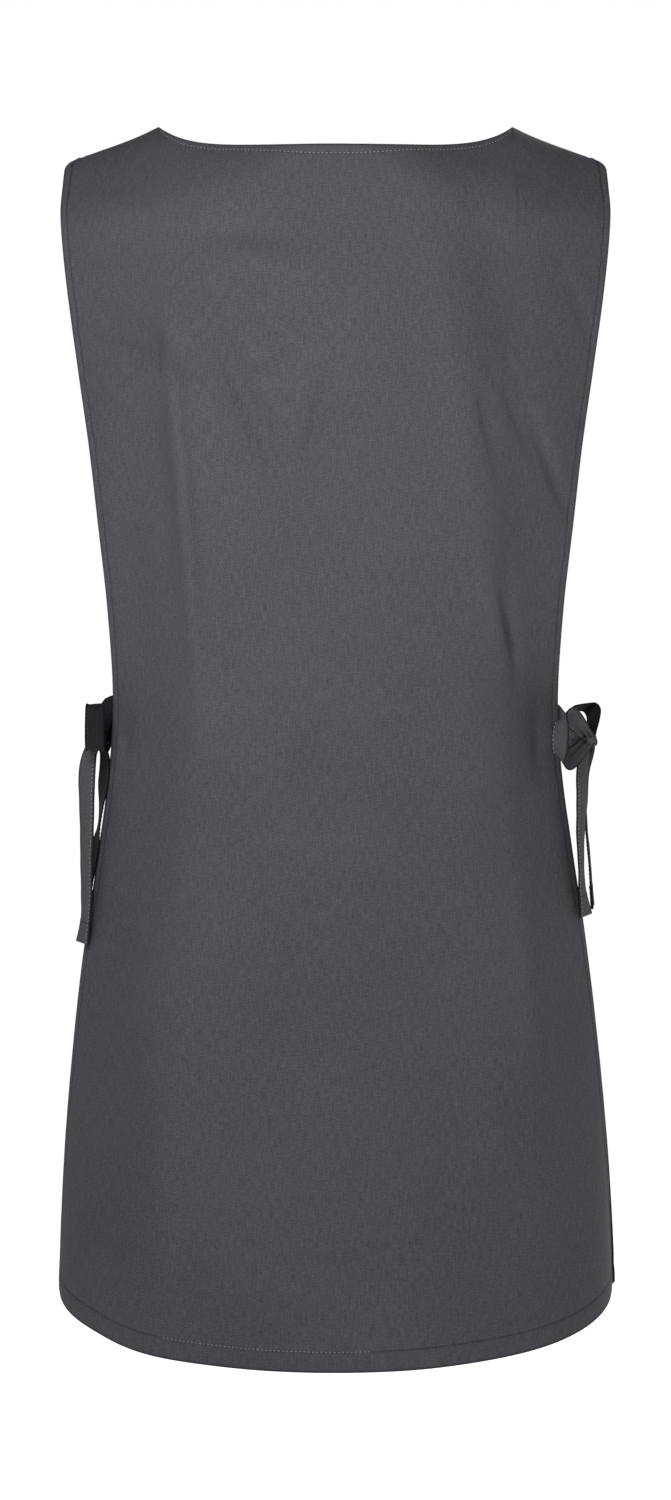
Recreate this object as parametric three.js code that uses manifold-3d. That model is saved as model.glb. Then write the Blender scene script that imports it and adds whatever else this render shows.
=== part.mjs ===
// Cobbler apron: a back and a front panel joined at the shoulder seams, tied in a bow at each side.
// Millimetres, +Z up. The back panel faces -Y and the front panel +Y.
// The origin lies midway between the two shoulder seams, at the height where they rest.
import * as THREE from 'three';
import { mergeVertices } from 'three/addons/utils/BufferGeometryUtils.js';
import Module from 'manifold-3d';

const wasm = await Module();
wasm.setup();

const DEGREE = Math.PI / 180;

// Overall sizes, as the apron hangs
const LENGTH = 842;
const WAIST_DOWN = 394;
const NECK_HEIGHT = 10;
const NECK_WIDTH = 244;
const BACK_NECK_DROP = 14.4;
const FRONT_NECK_DROP = 105;
const SHOULDER_DROP = 22.9;
const SHOULDER_WIDTH = 377;
const WAIST_WIDTH = 310;
const HEM_WIDTH = 392;
const HEM_RISE = 30;
const HEM_RISE_POWER = 1.22;
const FRONT_HEM_SWING = 3.5;

// How far the panels stand out from the shoulder line, to the back and to the front
const BLADE_DEPTH = 100;
const BACK_WAIST_DEPTH = 89;
const BACK_HEM_DEPTH = 140;
const BUST_DEPTH = 122;
const FRONT_WAIST_DEPTH = 104;
const FRONT_HEM_DEPTH = 148;

// How far each side edge stays behind or before the shoulder line
const ARMHOLE_SETBACK = 40;
const WAIST_SETBACK = 20;
const HEM_SETBACK = 6;

// Shoulder and armhole forms
const SHOULDER_TURN = 70;
const NECK_TURN = 38;
const NECK_LIFT = 20;
const NECK_LIFT_REACH = 75;
const SEAM_BEND_START = 60;
const FLANK_SHARE = 0.33;
const FLANK_SOFTNESS = 0.3;
const EDGE_CALM = 4;
const NECK_SOFTNESS = 0.06;
const SHOULDER_SAG_POWER = 0.72;
const CORNER_RADIUS = 7;
const CORNER_SHARPNESS = 10;

// Cloth, its folded hems and the clearance between pieces
const WALL = 1.2;
const HEM_WALL = 2.4;
const TOP_HEM = 9;
const SIDE_HEM = 8;
const BOTTOM_HEM = 15;
const HEM_STEP = 1;
const GAP = 0.3;
const EDGE_GAP = 0.45;
const FOLD_DEPTH = 4;

// Ties
const TIE_DOWN = 398;
const STRAP_WIDTH = 14.5;
const STRAP_WALL = 1.4;
const STRAP_GATHER = 0.62;
const LOOP_LENGTH = 38;
const LOOP_HEIGHT = 31;
const TAIL_LENGTH = 145;
const LOOP_FREE = 0.7;
const TAIL_FREE = 0.2;
const STUB_FREE = 0.8;
const CORE_RADIUS = 3.6;
const KNOT_RADIUS = 7.4;
const KNOT_DOWN = 24;
const KNOT_AHEAD = 6;
const LEFT_KNOT_OUT = 8.5;
const RIGHT_KNOT_OUT = 24;

// Grid of the cloth
const FIELD_ROWS = 24;
const ROW_POWER = 1.4;
const NECK_COLUMNS = [0, 0.22, 0.42, 0.6, 0.75, 0.87, 0.95, 1];
const SHOULDER_COLUMNS = [0.34, 0.67];
const HEM_LINES = 2;
const STUB_STEPS = 6;
const EDGE_PROBE = 0.04;
const HALVINGS = 24;

const WAIST_Z = NECK_HEIGHT - WAIST_DOWN;
const HEM_Z = NECK_HEIGHT - LENGTH;
const SKIRT_LENGTH = LENGTH - WAIST_DOWN;
const NECK_HALF = NECK_WIDTH / 2;
const TURN_LENGTH = (SHOULDER_TURN * Math.PI) / 2;

// Cross sections. at runs from -1 at the neck through 0 at the waist to 1 at the hem. width, depth and
// setback are shares of the way from the waist's size to the shoulder's or the hem's. wrap is how far
// the section turns from its middle to its edge, in degrees. flat goes from 0 for a round section to 1
// for a flat middle with two straight flanks.
const BACK_SECTIONS = [
  { at: -0.947, width: 0.93, depth: -0.64, setback: 0.5, wrap: 50, flat: 0 },
  { at: -0.9, width: 0.97, depth: -0.3, setback: 0.7, wrap: 50, flat: 0 },
  { at: -0.843, width: 1, depth: -0.09, setback: 0.8, wrap: 50, flat: 0.1 },
  { at: -0.716, width: 0.87, depth: 0.55, setback: 0.9, wrap: 52, flat: 0.4 },
  { at: -0.576, width: 0.65, depth: 1, setback: 1, wrap: 54, flat: 0.7 },
  { at: -0.439, width: 0.43, depth: 1, setback: 1, wrap: 55, flat: 0.8 },
  { at: -0.3, width: 0.255, depth: 0.64, setback: 0.9, wrap: 56, flat: 0.8 },
  { at: -0.157, width: 0.09, depth: 0.27, setback: 0.55, wrap: 58, flat: 0.8 },
  { at: 0, width: 0, depth: 0, setback: 0, wrap: 60, flat: 0.75 },
  { at: 0.112, width: 0.07, depth: 0.02, setback: 0.1, wrap: 62, flat: 0.7 },
  { at: 0.24, width: 0.266, depth: 0.14, setback: 0.18, wrap: 65, flat: 0.6 },
  { at: 0.368, width: 0.48, depth: 0.29, setback: 0.3, wrap: 69, flat: 0.5 },
  { at: 0.493, width: 0.66, depth: 0.45, setback: 0.5, wrap: 74, flat: 0.4 },
  { at: 0.621, width: 0.8, depth: 0.59, setback: 0.68, wrap: 79, flat: 0.3 },
  { at: 0.751, width: 0.905, depth: 0.73, setback: 0.84, wrap: 84, flat: 0.15 },
  { at: 0.879, width: 0.97, depth: 0.88, setback: 0.95, wrap: 88, flat: 0.05 },
  { at: 1, width: 1, depth: 1, setback: 1, wrap: 90, flat: 0 },
];
const FRONT_SECTIONS = [
  { at: -0.947, width: 0.93, depth: -1.9, setback: 0.5, wrap: 50, flat: 0 },
  { at: -0.9, width: 0.97, depth: -1.4, setback: 0.7, wrap: 50, flat: 0 },
  { at: -0.843, width: 1, depth: -1, setback: 0.8, wrap: 50, flat: 0 },
  { at: -0.716, width: 0.87, depth: -0.28, setback: 0.9, wrap: 52, flat: 0.1 },
  { at: -0.576, width: 0.65, depth: 0.25, setback: 1, wrap: 54, flat: 0.2 },
  { at: -0.439, width: 0.43, depth: 0.78, setback: 1, wrap: 56, flat: 0.3 },
  { at: -0.34, width: 0.3, depth: 1, setback: 0.94, wrap: 57, flat: 0.3 },
  { at: -0.157, width: 0.09, depth: 0.62, setback: 0.55, wrap: 58, flat: 0.3 },
  { at: 0, width: 0, depth: 0, setback: 0, wrap: 60, flat: 0.3 },
  { at: 0.112, width: 0.07, depth: 0.01, setback: 0.1, wrap: 62, flat: 0.3 },
  { at: 0.24, width: 0.266, depth: 0.1, setback: 0.18, wrap: 65, flat: 0.3 },
  { at: 0.368, width: 0.48, depth: 0.23, setback: 0.3, wrap: 69, flat: 0.3 },
  { at: 0.493, width: 0.66, depth: 0.41, setback: 0.5, wrap: 74, flat: 0.2 },
  { at: 0.621, width: 0.8, depth: 0.58, setback: 0.68, wrap: 79, flat: 0.2 },
  { at: 0.751, width: 0.905, depth: 0.74, setback: 0.84, wrap: 84, flat: 0.1 },
  { at: 0.879, width: 0.97, depth: 0.88, setback: 0.95, wrap: 88, flat: 0 },
  { at: 1, width: 1, depth: 1, setback: 1, wrap: 90, flat: 0 },
];

// Folds and dents. across and wide are shares of the half width, down and long are shares of the length,
// depth is a share of FOLD_DEPTH, outward when positive, and lean is the shift across per share down.
const BACK_FOLDS = [
  { name: 'left shoulder bend', across: -0.85, down: 0.07, wide: 0.3, long: 0.024, depth: 1.5, lean: 0 },
  { name: 'right shoulder bend', across: 0.85, down: 0.07, wide: 0.3, long: 0.024, depth: 1, lean: 0 },
  { name: 'left blade', across: -0.66, down: 0.13, wide: 0.24, long: 0.05, depth: 0.9, lean: 0 },
  { name: 'left armhole dent', across: -0.78, down: 0.168, wide: 0.2, long: 0.03, depth: -2.4, lean: 6 },
  { name: 'left ridge', across: -0.62, down: 0.31, wide: 0.065, long: 0.15, depth: 1.3, lean: 0.1 },
  { name: 'left side groove', across: -0.85, down: 0.35, wide: 0.1, long: 0.13, depth: -0.9, lean: 0 },
  { name: 'left slant groove', across: -0.35, down: 0.22, wide: 0.08, long: 0.1, depth: -1.1, lean: 2 },
  { name: 'left yoke dimple', across: -0.31, down: 0.09, wide: 0.13, long: 0.014, depth: -0.5, lean: 0 },
  { name: 'middle crease', across: -0.08, down: 0.239, wide: 0.035, long: 0.045, depth: -0.5, lean: -1.6 },
  { name: 'right ridge', across: 0.5, down: 0.21, wide: 0.12, long: 0.18, depth: 0.9, lean: 1 },
  { name: 'right groove', across: 0.72, down: 0.24, wide: 0.12, long: 0.17, depth: -1.5, lean: 1 },
  { name: 'right crease', across: 0.62, down: 0.235, wide: 0.035, long: 0.04, depth: -0.5, lean: 1 },
  { name: 'right armhole crease', across: 0.84, down: 0.268, wide: 0.045, long: 0.05, depth: -0.8, lean: 2.6 },
  { name: 'right waist crease', across: 0.76, down: 0.4, wide: 0.04, long: 0.05, depth: -0.8, lean: 0.6 },
  { name: 'waist crease', across: -0.11, down: 0.5, wide: 0.05, long: 0.03, depth: -0.5, lean: -3.6 },
  { name: 'waist swell', across: 0.2, down: 0.56, wide: 0.17, long: 0.02, depth: 0.5, lean: 0 },
  { name: 'low waist crease', across: 0.15, down: 0.606, wide: 0.14, long: 0.01, depth: -0.4, lean: 0 },
  { name: 'right knot dent', across: 0.93, down: 0.49, wide: 0.08, long: 0.04, depth: -1, lean: 0 },
  { name: 'right hip dent', across: 0.92, down: 0.61, wide: 0.1, long: 0.05, depth: -1.2, lean: 0.5 },
  { name: 'left hip dent', across: -0.9, down: 0.62, wide: 0.12, long: 0.08, depth: -0.7, lean: -0.5 },
  { name: 'middle skirt swell', across: 0, down: 0.78, wide: 0.3, long: 0.22, depth: 1.4, lean: 0 },
  { name: 'right skirt hollow', across: 0.48, down: 0.8, wide: 0.17, long: 0.18, depth: -1.2, lean: 0.1 },
  { name: 'right skirt fall', across: 0.76, down: 0.72, wide: 0.07, long: 0.16, depth: 1, lean: 0 },
  { name: 'left skirt fall', across: -0.62, down: 0.82, wide: 0.14, long: 0.22, depth: 1.4, lean: -0.1 },
  { name: 'left hem hollow', across: -0.86, down: 0.84, wide: 0.1, long: 0.24, depth: -1, lean: -0.1 },
];
const FRONT_FOLDS = [
  { name: 'left strap dent', across: -0.62, down: 0.16, wide: 0.14, long: 0.05, depth: -0.6, lean: 0 },
  { name: 'right strap dent', across: 0.62, down: 0.16, wide: 0.14, long: 0.05, depth: -0.6, lean: 0 },
  { name: 'left bust fall', across: -0.42, down: 0.44, wide: 0.1, long: 0.12, depth: 0.8, lean: 0 },
  { name: 'right bust fall', across: 0.42, down: 0.44, wide: 0.1, long: 0.12, depth: 0.8, lean: 0 },
  { name: 'middle fall', across: 0, down: 0.46, wide: 0.14, long: 0.12, depth: -0.6, lean: 0 },
  { name: 'left skirt swell', across: -0.55, down: 0.85, wide: 0.18, long: 0.22, depth: 0.8, lean: 0 },
  { name: 'right skirt swell', across: 0.55, down: 0.85, wide: 0.18, long: 0.22, depth: 0.8, lean: 0 },
];

const BACK = {
  face: -1,
  neckDrop: BACK_NECK_DROP,
  neckSquare: 6.5,
  neckRound: 1,
  shoulderDepth: BLADE_DEPTH,
  waistDepth: BACK_WAIST_DEPTH,
  hemDepth: BACK_HEM_DEPTH,
  hemSwing: 0,
  sections: BACK_SECTIONS,
  folds: BACK_FOLDS,
};
const FRONT = {
  face: 1,
  neckDrop: FRONT_NECK_DROP,
  neckSquare: 2.2,
  neckRound: 1 / 2.2,
  shoulderDepth: BUST_DEPTH,
  waistDepth: FRONT_WAIST_DEPTH,
  hemDepth: FRONT_HEM_DEPTH,
  hemSwing: FRONT_HEM_SWING,
  sections: FRONT_SECTIONS,
  folds: FRONT_FOLDS,
};

// The section table of a panel with its shares turned into lengths
function profileOf(panel) {
  return panel.sections.map((row) => {
    const above = row.at < 0;
    const between = (share, shoulder, waist, hem) => waist + share * ((above ? shoulder : hem) - waist);
    return {
      z: WAIST_Z - row.at * (above ? WAIST_DOWN : SKIRT_LENGTH),
      half: between(row.width, SHOULDER_WIDTH, WAIST_WIDTH, HEM_WIDTH) / 2,
      depth: between(row.depth, panel.shoulderDepth, panel.waistDepth, panel.hemDepth),
      setback: between(row.setback, ARMHOLE_SETBACK, WAIST_SETBACK, HEM_SETBACK),
      wrap: row.wrap * DEGREE,
      flat: row.flat,
    };
  });
}

// The section at a height, as a smooth curve through the rows
function sectionAt(rows, z) {
  const last = rows.length - 1;
  if (z >= rows[0].z) return rows[0];
  if (z <= rows[last].z) return rows[last];
  const i = rows.findIndex((row) => row.z < z) - 1;
  const [a, b] = [rows[i], rows[i + 1]];
  const [before, after] = [rows[Math.max(i - 1, 0)], rows[Math.min(i + 2, last)]];
  const step = b.z - a.z;
  const t = (z - a.z) / step;
  const blend = (key) => {
    const slopeA = ((b[key] - before[key]) / (b.z - before.z)) * step;
    const slopeB = ((after[key] - a[key]) / (after.z - a.z)) * step;
    const rise = b[key] - a[key];
    return a[key] + t * (slopeA + t * (3 * rise - 2 * slopeA - slopeB + t * (slopeA + slopeB - 2 * rise)));
  };
  return Object.fromEntries(['half', 'depth', 'setback', 'wrap', 'flat'].map((key) => [key, blend(key)]));
}

function smoothstep(value) {
  const t = THREE.MathUtils.clamp(value, 0, 1);
  return t * t * (3 - 2 * t);
}

function foldAt(panel, across, z) {
  const down = (NECK_HEIGHT - z) / LENGTH;
  let depth = 0;
  for (const fold of panel.folds) {
    const sideways = (across - fold.across - fold.lean * (down - fold.down)) / fold.wide;
    const along = (down - fold.down) / fold.long;
    depth += FOLD_DEPTH * fold.depth * Math.exp(-sideways * sideways - along * along);
  }
  return depth;
}

// A flat middle that turns softly into a straight flank, from 1 at the middle to 0 at the edge
function flankAt(across) {
  const soft = (rise) => (1 + rise - Math.hypot(1 - rise, FLANK_SOFTNESS)) / 2;
  return (soft((1 - across) / FLANK_SHARE) - soft(0)) / (soft(1 / FLANK_SHARE) - soft(0));
}

// The height of the shoulder line over a place x from the middle, bent softly at the neck point
function ridgeAt(x, tip) {
  const soft = (outward) => ((outward + Math.hypot(outward, NECK_SOFTNESS)) / 2) ** SHOULDER_SAG_POWER;
  const outward = (x - NECK_HALF) / (tip - NECK_HALF);
  return NECK_HEIGHT + (SHOULDER_DROP * (soft(0) - soft(outward))) / (soft(1) - soft(0));
}

// How far above the shoulder line the turn-over starts, for an upright neckline and a smooth yoke
function liftAt(panel, place) {
  const tip = panel.profile[0].half;
  const x = Math.min(Math.abs(place), tip);
  const bend = Math.max(0, x - SEAM_BEND_START) / (tip - SEAM_BEND_START);
  const smooth = NECK_HEIGHT - SHOULDER_DROP * bend ** 2;
  return NECK_LIFT * Math.exp(-((x / NECK_LIFT_REACH) ** 2)) + smooth - ridgeAt(x, tip);
}

// A point of the cloth's outer face. share runs from -1 to 1 between the side edges and ridge is the
// height of the shoulder line above it, where the cloth turns over from the vertical.
function clothPoint(panel, share, z, ridge) {
  const cut = sectionAt(panel.profile, z);
  const angle = share * cut.wrap;
  const across = Math.sin(angle) / Math.sin(cut.wrap);
  const roundBulge = (Math.cos(angle) - Math.cos(cut.wrap)) / (1 - Math.cos(cut.wrap));
  const bulge = roundBulge + cut.flat * (flankAt(Math.abs(across)) - roundBulge);
  const fromNeck = smoothstep((cut.half * Math.abs(across)) / NECK_HALF);
  const turn = NECK_TURN + (SHOULDER_TURN - NECK_TURN) * fromNeck;
  const drop = ridge - z;
  const lift = liftAt(panel, cut.half * across) * smoothstep((2 * drop) / turn);
  const below = THREE.MathUtils.clamp((drop + lift) / turn, 0, 1);
  const over = Math.sqrt(1 - (1 - below) ** 2);
  const fold = foldAt(panel, across, z);
  const intoCorner = Math.max(0, CORNER_RADIUS - Math.max(0, ridge - z));
  const corner = CORNER_RADIUS - Math.sqrt(CORNER_RADIUS ** 2 - intoCorner ** 2);
  const swing = panel.hemSwing * Math.max(0, (WAIST_Z - z) / SKIRT_LENGTH) ** 2;
  const sideways = fold * Math.sin(angle) * (1 - share ** EDGE_CALM) + swing;
  const x = cut.half * across + sideways - Math.sign(share) * corner * share ** CORNER_SHARPNESS;
  const y = (cut.setback + (cut.depth - cut.setback) * bulge + fold * Math.cos(angle)) * over + GAP / 2;
  return new THREE.Vector3(x, panel.face * y, z);
}

// The share at which the cloth lies some distance in from its side edge
function shareFromEdge(panel, z, distance) {
  const smooth = { ...panel, folds: [] };
  const edge = clothPoint(smooth, 1, z, Infinity);
  const inner = clothPoint(smooth, 1 - EDGE_PROBE, z, Infinity);
  return 1 - (distance * EDGE_PROBE) / edge.distanceTo(inner);
}

// One line of cloth from the top edge down to the hem
function columnOf(panel, share) {
  const top = panel.profile[0];
  const x = Math.abs((top.half * Math.sin(share * top.wrap)) / Math.sin(top.wrap));
  const onSeam = x > NECK_HALF - 0.01;
  const ridge = ridgeAt(x, top.half);
  const neckline = panel.neckDrop * (1 - Math.min(1, x / NECK_HALF) ** panel.neckSquare) ** panel.neckRound;
  const drop = onSeam ? 0 : neckline + ridge - NECK_HEIGHT;
  const hem = HEM_Z + HEM_RISE * (1 - Math.cos((share * Math.PI) / 2)) ** HEM_RISE_POWER;
  return { share, onSeam, ridge, top: pathAt(drop), hem: pathAt(ridge - hem) };
}

// The way along the cloth for a drop below the ridge, and back
function pathAt(drop) {
  if (drop >= SHOULDER_TURN) return TURN_LENGTH + drop - SHOULDER_TURN;
  return SHOULDER_TURN * Math.acos(1 - drop / SHOULDER_TURN);
}
function dropAt(path) {
  if (path >= TURN_LENGTH) return SHOULDER_TURN + path - TURN_LENGTH;
  return SHOULDER_TURN * (1 - Math.cos(path / SHOULDER_TURN));
}

// The path at which a column lies some distance down from its top edge
function pathFromTop(panel, column, distance) {
  const start = clothPoint(panel, column.share, column.ridge - dropAt(column.top), column.ridge);
  let near = column.top;
  let far = column.top + SHOULDER_TURN;
  for (let halving = 0; halving < HALVINGS; halving += 1) {
    const middle = (near + far) / 2;
    const point = clothPoint(panel, column.share, column.ridge - dropAt(middle), column.ridge);
    if (point.distanceTo(start) < distance) near = middle;
    else far = middle;
  }
  return near;
}

function columnShares(panel) {
  const top = panel.profile[0];
  const neck = Math.asin((NECK_HALF * Math.sin(top.wrap)) / top.half) / top.wrap;
  const band = shareFromEdge(panel, top.z, SIDE_HEM);
  const field = shareFromEdge(panel, top.z, SIDE_HEM + HEM_STEP);
  const half = [
    ...NECK_COLUMNS.map((part) => part * neck),
    ...SHOULDER_COLUMNS.map((part) => neck + part * (field - neck)),
    field,
    band,
    1,
  ];
  return [...half.slice(1).reverse().map((share) => -share), ...half];
}

// A closed sheet of cloth from its outer and inner grids of points
function shell(outer, inner) {
  const rows = outer.length;
  const columns = outer[0].length;
  const points = [...outer.flat(), ...inner.flat()];
  const out = (i, j) => i * columns + j;
  const into = (i, j) => (rows + i) * columns + j;
  const triangles = [];
  const quad = (a, b, c, d) => triangles.push([a, b, c], [a, c, d]);
  for (let i = 0; i < rows - 1; i += 1) {
    for (let j = 0; j < columns - 1; j += 1) {
      quad(out(i, j), out(i + 1, j), out(i + 1, j + 1), out(i, j + 1));
      quad(into(i, j), into(i, j + 1), into(i + 1, j + 1), into(i + 1, j));
    }
  }
  const bottom = rows - 1;
  const right = columns - 1;
  for (let j = 0; j < right; j += 1) {
    quad(out(0, j), out(0, j + 1), into(0, j + 1), into(0, j));
    quad(out(bottom, j + 1), out(bottom, j), into(bottom, j), into(bottom, j + 1));
  }
  for (let i = 0; i < bottom; i += 1) {
    quad(out(i + 1, 0), out(i, 0), into(i, 0), into(i + 1, 0));
    quad(out(i, right), out(i + 1, right), into(i + 1, right), into(i, right));
  }
  return bodyOf(points, triangles);
}

// A geometry with every face pointing out
function bodyOf(points, triangles) {
  let volume = 0;
  const normal = new THREE.Vector3();
  for (const [a, b, c] of triangles) {
    volume += normal.crossVectors(points[a], points[b]).dot(points[c]);
  }
  const geometry = new THREE.BufferGeometry();
  const order = volume < 0 ? triangles.map(([a, b, c]) => [a, c, b]) : triangles;
  geometry.setAttribute('position', new THREE.Float32BufferAttribute(points.flatMap((p) => p.toArray()), 3));
  geometry.setIndex(order.flat());
  return geometry;
}

// The paths of a column's points: the top hem, the open cloth and the bottom hem
function pathsOf(panel, column) {
  const start = pathFromTop(panel, column, TOP_HEM + HEM_STEP);
  const end = column.hem - BOTTOM_HEM - HEM_STEP;
  const open = [];
  for (let i = 0; i <= FIELD_ROWS; i += 1) {
    open.push(start + (end - start) * (i / FIELD_ROWS) ** ROW_POWER);
  }
  return [column.top, pathFromTop(panel, column, TOP_HEM), ...open, column.hem - BOTTOM_HEM, column.hem];
}

// The cloth's outer points, with the side hems at their true width at every height
function outerGrid(panel, columns) {
  const last = columns.length - 1;
  const topShare = shareFromEdge(panel, panel.profile[0].z, SIDE_HEM + HEM_STEP);
  const lines = columns.map((column, j) => pathsOf(panel, column).map((path) => {
    const z = column.ridge - dropAt(path);
    const fromEdge = Math.min(j, last - j);
    let share = (column.share * shareFromEdge(panel, z, SIDE_HEM + HEM_STEP)) / topShare;
    if (fromEdge === 0) share = column.share;
    if (fromEdge === 1) share = Math.sign(column.share) * shareFromEdge(panel, z, SIDE_HEM);
    return clothPoint(panel, share, z, column.ridge);
  }));
  return lines[0].map((_, i) => lines.map((line) => line[i]));
}

function panelGeometry(panel) {
  const columns = columnShares(panel).map((share) => columnOf(panel, share));
  const outer = outerGrid(panel, columns);
  const bottom = outer.length - 1;
  const right = columns.length - 1;
  const inner = outer.map((row, i) => row.map((point, j) => {
    const down = outer[Math.min(i + 1, bottom)][j].clone().sub(outer[Math.max(i - 1, 0)][j]);
    const across = row[Math.min(j + 1, right)].clone().sub(row[Math.max(j - 1, 0)]);
    const normal = down.cross(across).multiplyScalar(-panel.face);
    if (i === 0 && columns[j].onSeam) normal.setY(0);
    const inHem = Math.min(i, bottom - i, j, right - j) < HEM_LINES;
    return point.clone().addScaledVector(normal.normalize(), -(inHem ? HEM_WALL : WALL));
  }));
  return shell(outer, inner);
}

// Solids that are joined or cut
function toManifold(geometry) {
  const bare = geometry.clone();
  bare.deleteAttribute('normal');
  bare.deleteAttribute('uv');
  const merged = mergeVertices(bare, 1e-5);
  return new wasm.Manifold(new wasm.Mesh({
    numProp: 3,
    vertProperties: new Float32Array(merged.getAttribute('position').array),
    triVerts: new Uint32Array(merged.getIndex().array),
  }));
}
function fromManifold(solid) {
  const mesh = solid.getMesh();
  const geometry = new THREE.BufferGeometry();
  geometry.setAttribute('position', new THREE.BufferAttribute(mesh.vertProperties, 3));
  geometry.setIndex(new THREE.BufferAttribute(mesh.triVerts, 1));
  return geometry;
}

// A strap: frames give its middle, the way of its width and that width. grow makes it larger all round.
function strap(frames, grow) {
  const last = frames.length - 1;
  const points = [];
  frames.forEach((frame, i) => {
    const along = frames[Math.min(i + 1, last)].at.clone().sub(frames[Math.max(i - 1, 0)].at).normalize();
    const thick = along.clone().cross(frame.across).normalize().multiplyScalar(STRAP_WALL / 2 + grow);
    const wide = thick.clone().cross(along).normalize().multiplyScalar(frame.width / 2 + grow);
    const end = { 0: -grow, [last]: grow }[i] ?? 0;
    const middle = frame.at.clone().addScaledVector(along, end);
    points.push(middle.clone().add(wide).add(thick));
    points.push(middle.clone().sub(wide).add(thick));
    points.push(middle.clone().sub(wide).sub(thick));
    points.push(middle.clone().add(wide).sub(thick));
  });
  const triangles = [];
  const quad = (a, b, c, d) => triangles.push([a, b, c], [a, c, d]);
  for (let i = 0; i < last; i += 1) {
    for (let k = 0; k < 4; k += 1) {
      const next = (k + 1) % 4;
      quad(i * 4 + k, i * 4 + next, (i + 1) * 4 + next, (i + 1) * 4 + k);
    }
  }
  quad(3, 2, 1, 0);
  quad(last * 4, last * 4 + 1, last * 4 + 2, last * 4 + 3);
  return toManifold(bodyOf(points, triangles));
}

function ball(middle, radius, grow) {
  const geometry = new THREE.IcosahedronGeometry(radius + grow, 1);
  geometry.translate(middle.x, middle.y, middle.z);
  return toManifold(geometry);
}

// A loop of a bow. out is a share of its length and rise a share of its half height.
const LOOP_FORM = [
  { out: 0, rise: 0.05 },
  { out: 0.22, rise: 0.3 },
  { out: 0.5, rise: 0.68 },
  { out: 0.78, rise: 0.96 },
  { out: 0.95, rise: 0.8 },
  { out: 1, rise: 0.28 },
];

// Width of a strap that is gathered where it enters a knot and full from free onward
function gathered(away, free) {
  return STRAP_WIDTH * THREE.MathUtils.lerp(STRAP_GATHER, 1, THREE.MathUtils.smoothstep(away, 0, free));
}

function loopFrames(knot, tie) {
  const out = new THREE.Vector3(...tie.loopOut).normalize();
  const axis = out.clone().cross(new THREE.Vector3(...tie.loopRise)).normalize();
  const rise = axis.clone().cross(out);
  const rows = [...LOOP_FORM, ...LOOP_FORM.map(({ out: o, rise: r }) => ({ out: o, rise: -r })).reverse()];
  return rows.map((row) => ({
    at: knot.clone()
      .addScaledVector(out, row.out * tie.loopLength * LOOP_LENGTH)
      .addScaledVector(rise, (row.rise * tie.loopHeight * LOOP_HEIGHT) / 2),
    across: axis,
    width: gathered(row.out, LOOP_FREE),
  }));
}

// A point beside a panel's side edge, off the cloth's outer face and ahead of the edge along the cloth
function besideEdge(panel, side, z, off, ahead) {
  const edge = clothPoint(panel, side, z, NECK_HEIGHT);
  const along = edge.clone().sub(clothPoint(panel, side * (1 - EDGE_PROBE), z, NECK_HEIGHT)).normalize();
  const outward = new THREE.Vector3(side * Math.abs(along.y), panel.face * Math.abs(along.x), 0);
  return edge.addScaledVector(outward, off).addScaledVector(along, ahead);
}

// A tail hangs from the knot beside the back panel's edge. off and ahead are shares of the strap's
// width and face turns its flat side from facing backward, in degrees.
function tailFrames(knot, side, tie) {
  return tie.tail.map((row) => {
    const z = knot.z - row.down * tie.tailLength * TAIL_LENGTH;
    return {
      at: besideEdge(BACK, side, z, row.off * STRAP_WIDTH, row.ahead * STRAP_WIDTH),
      across: new THREE.Vector3(-side * Math.cos(row.face * DEGREE), -Math.sin(row.face * DEGREE), 0),
      width: gathered(row.down, TAIL_FREE),
    };
  });
}

// The stretch from a panel's side edge to the knot
function stubFrames(panel, side, knot) {
  const z = NECK_HEIGHT - TIE_DOWN;
  const level = -HEM_WALL / 2;
  const up = new THREE.Vector3(0, 0, 1);
  const start = besideEdge(panel, side, z, level, EDGE_GAP);
  const free = besideEdge(panel, side, z, level + GAP, SIDE_HEM / 2);
  const curve = new THREE.CatmullRomCurve3([start, free, free.clone().lerp(knot, 0.5), knot.clone()]);
  return curve.getPoints(STUB_STEPS).map((at, i) => ({
    at,
    across: up,
    width: gathered(1 - i / STUB_STEPS, STUB_FREE),
  }));
}

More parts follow.
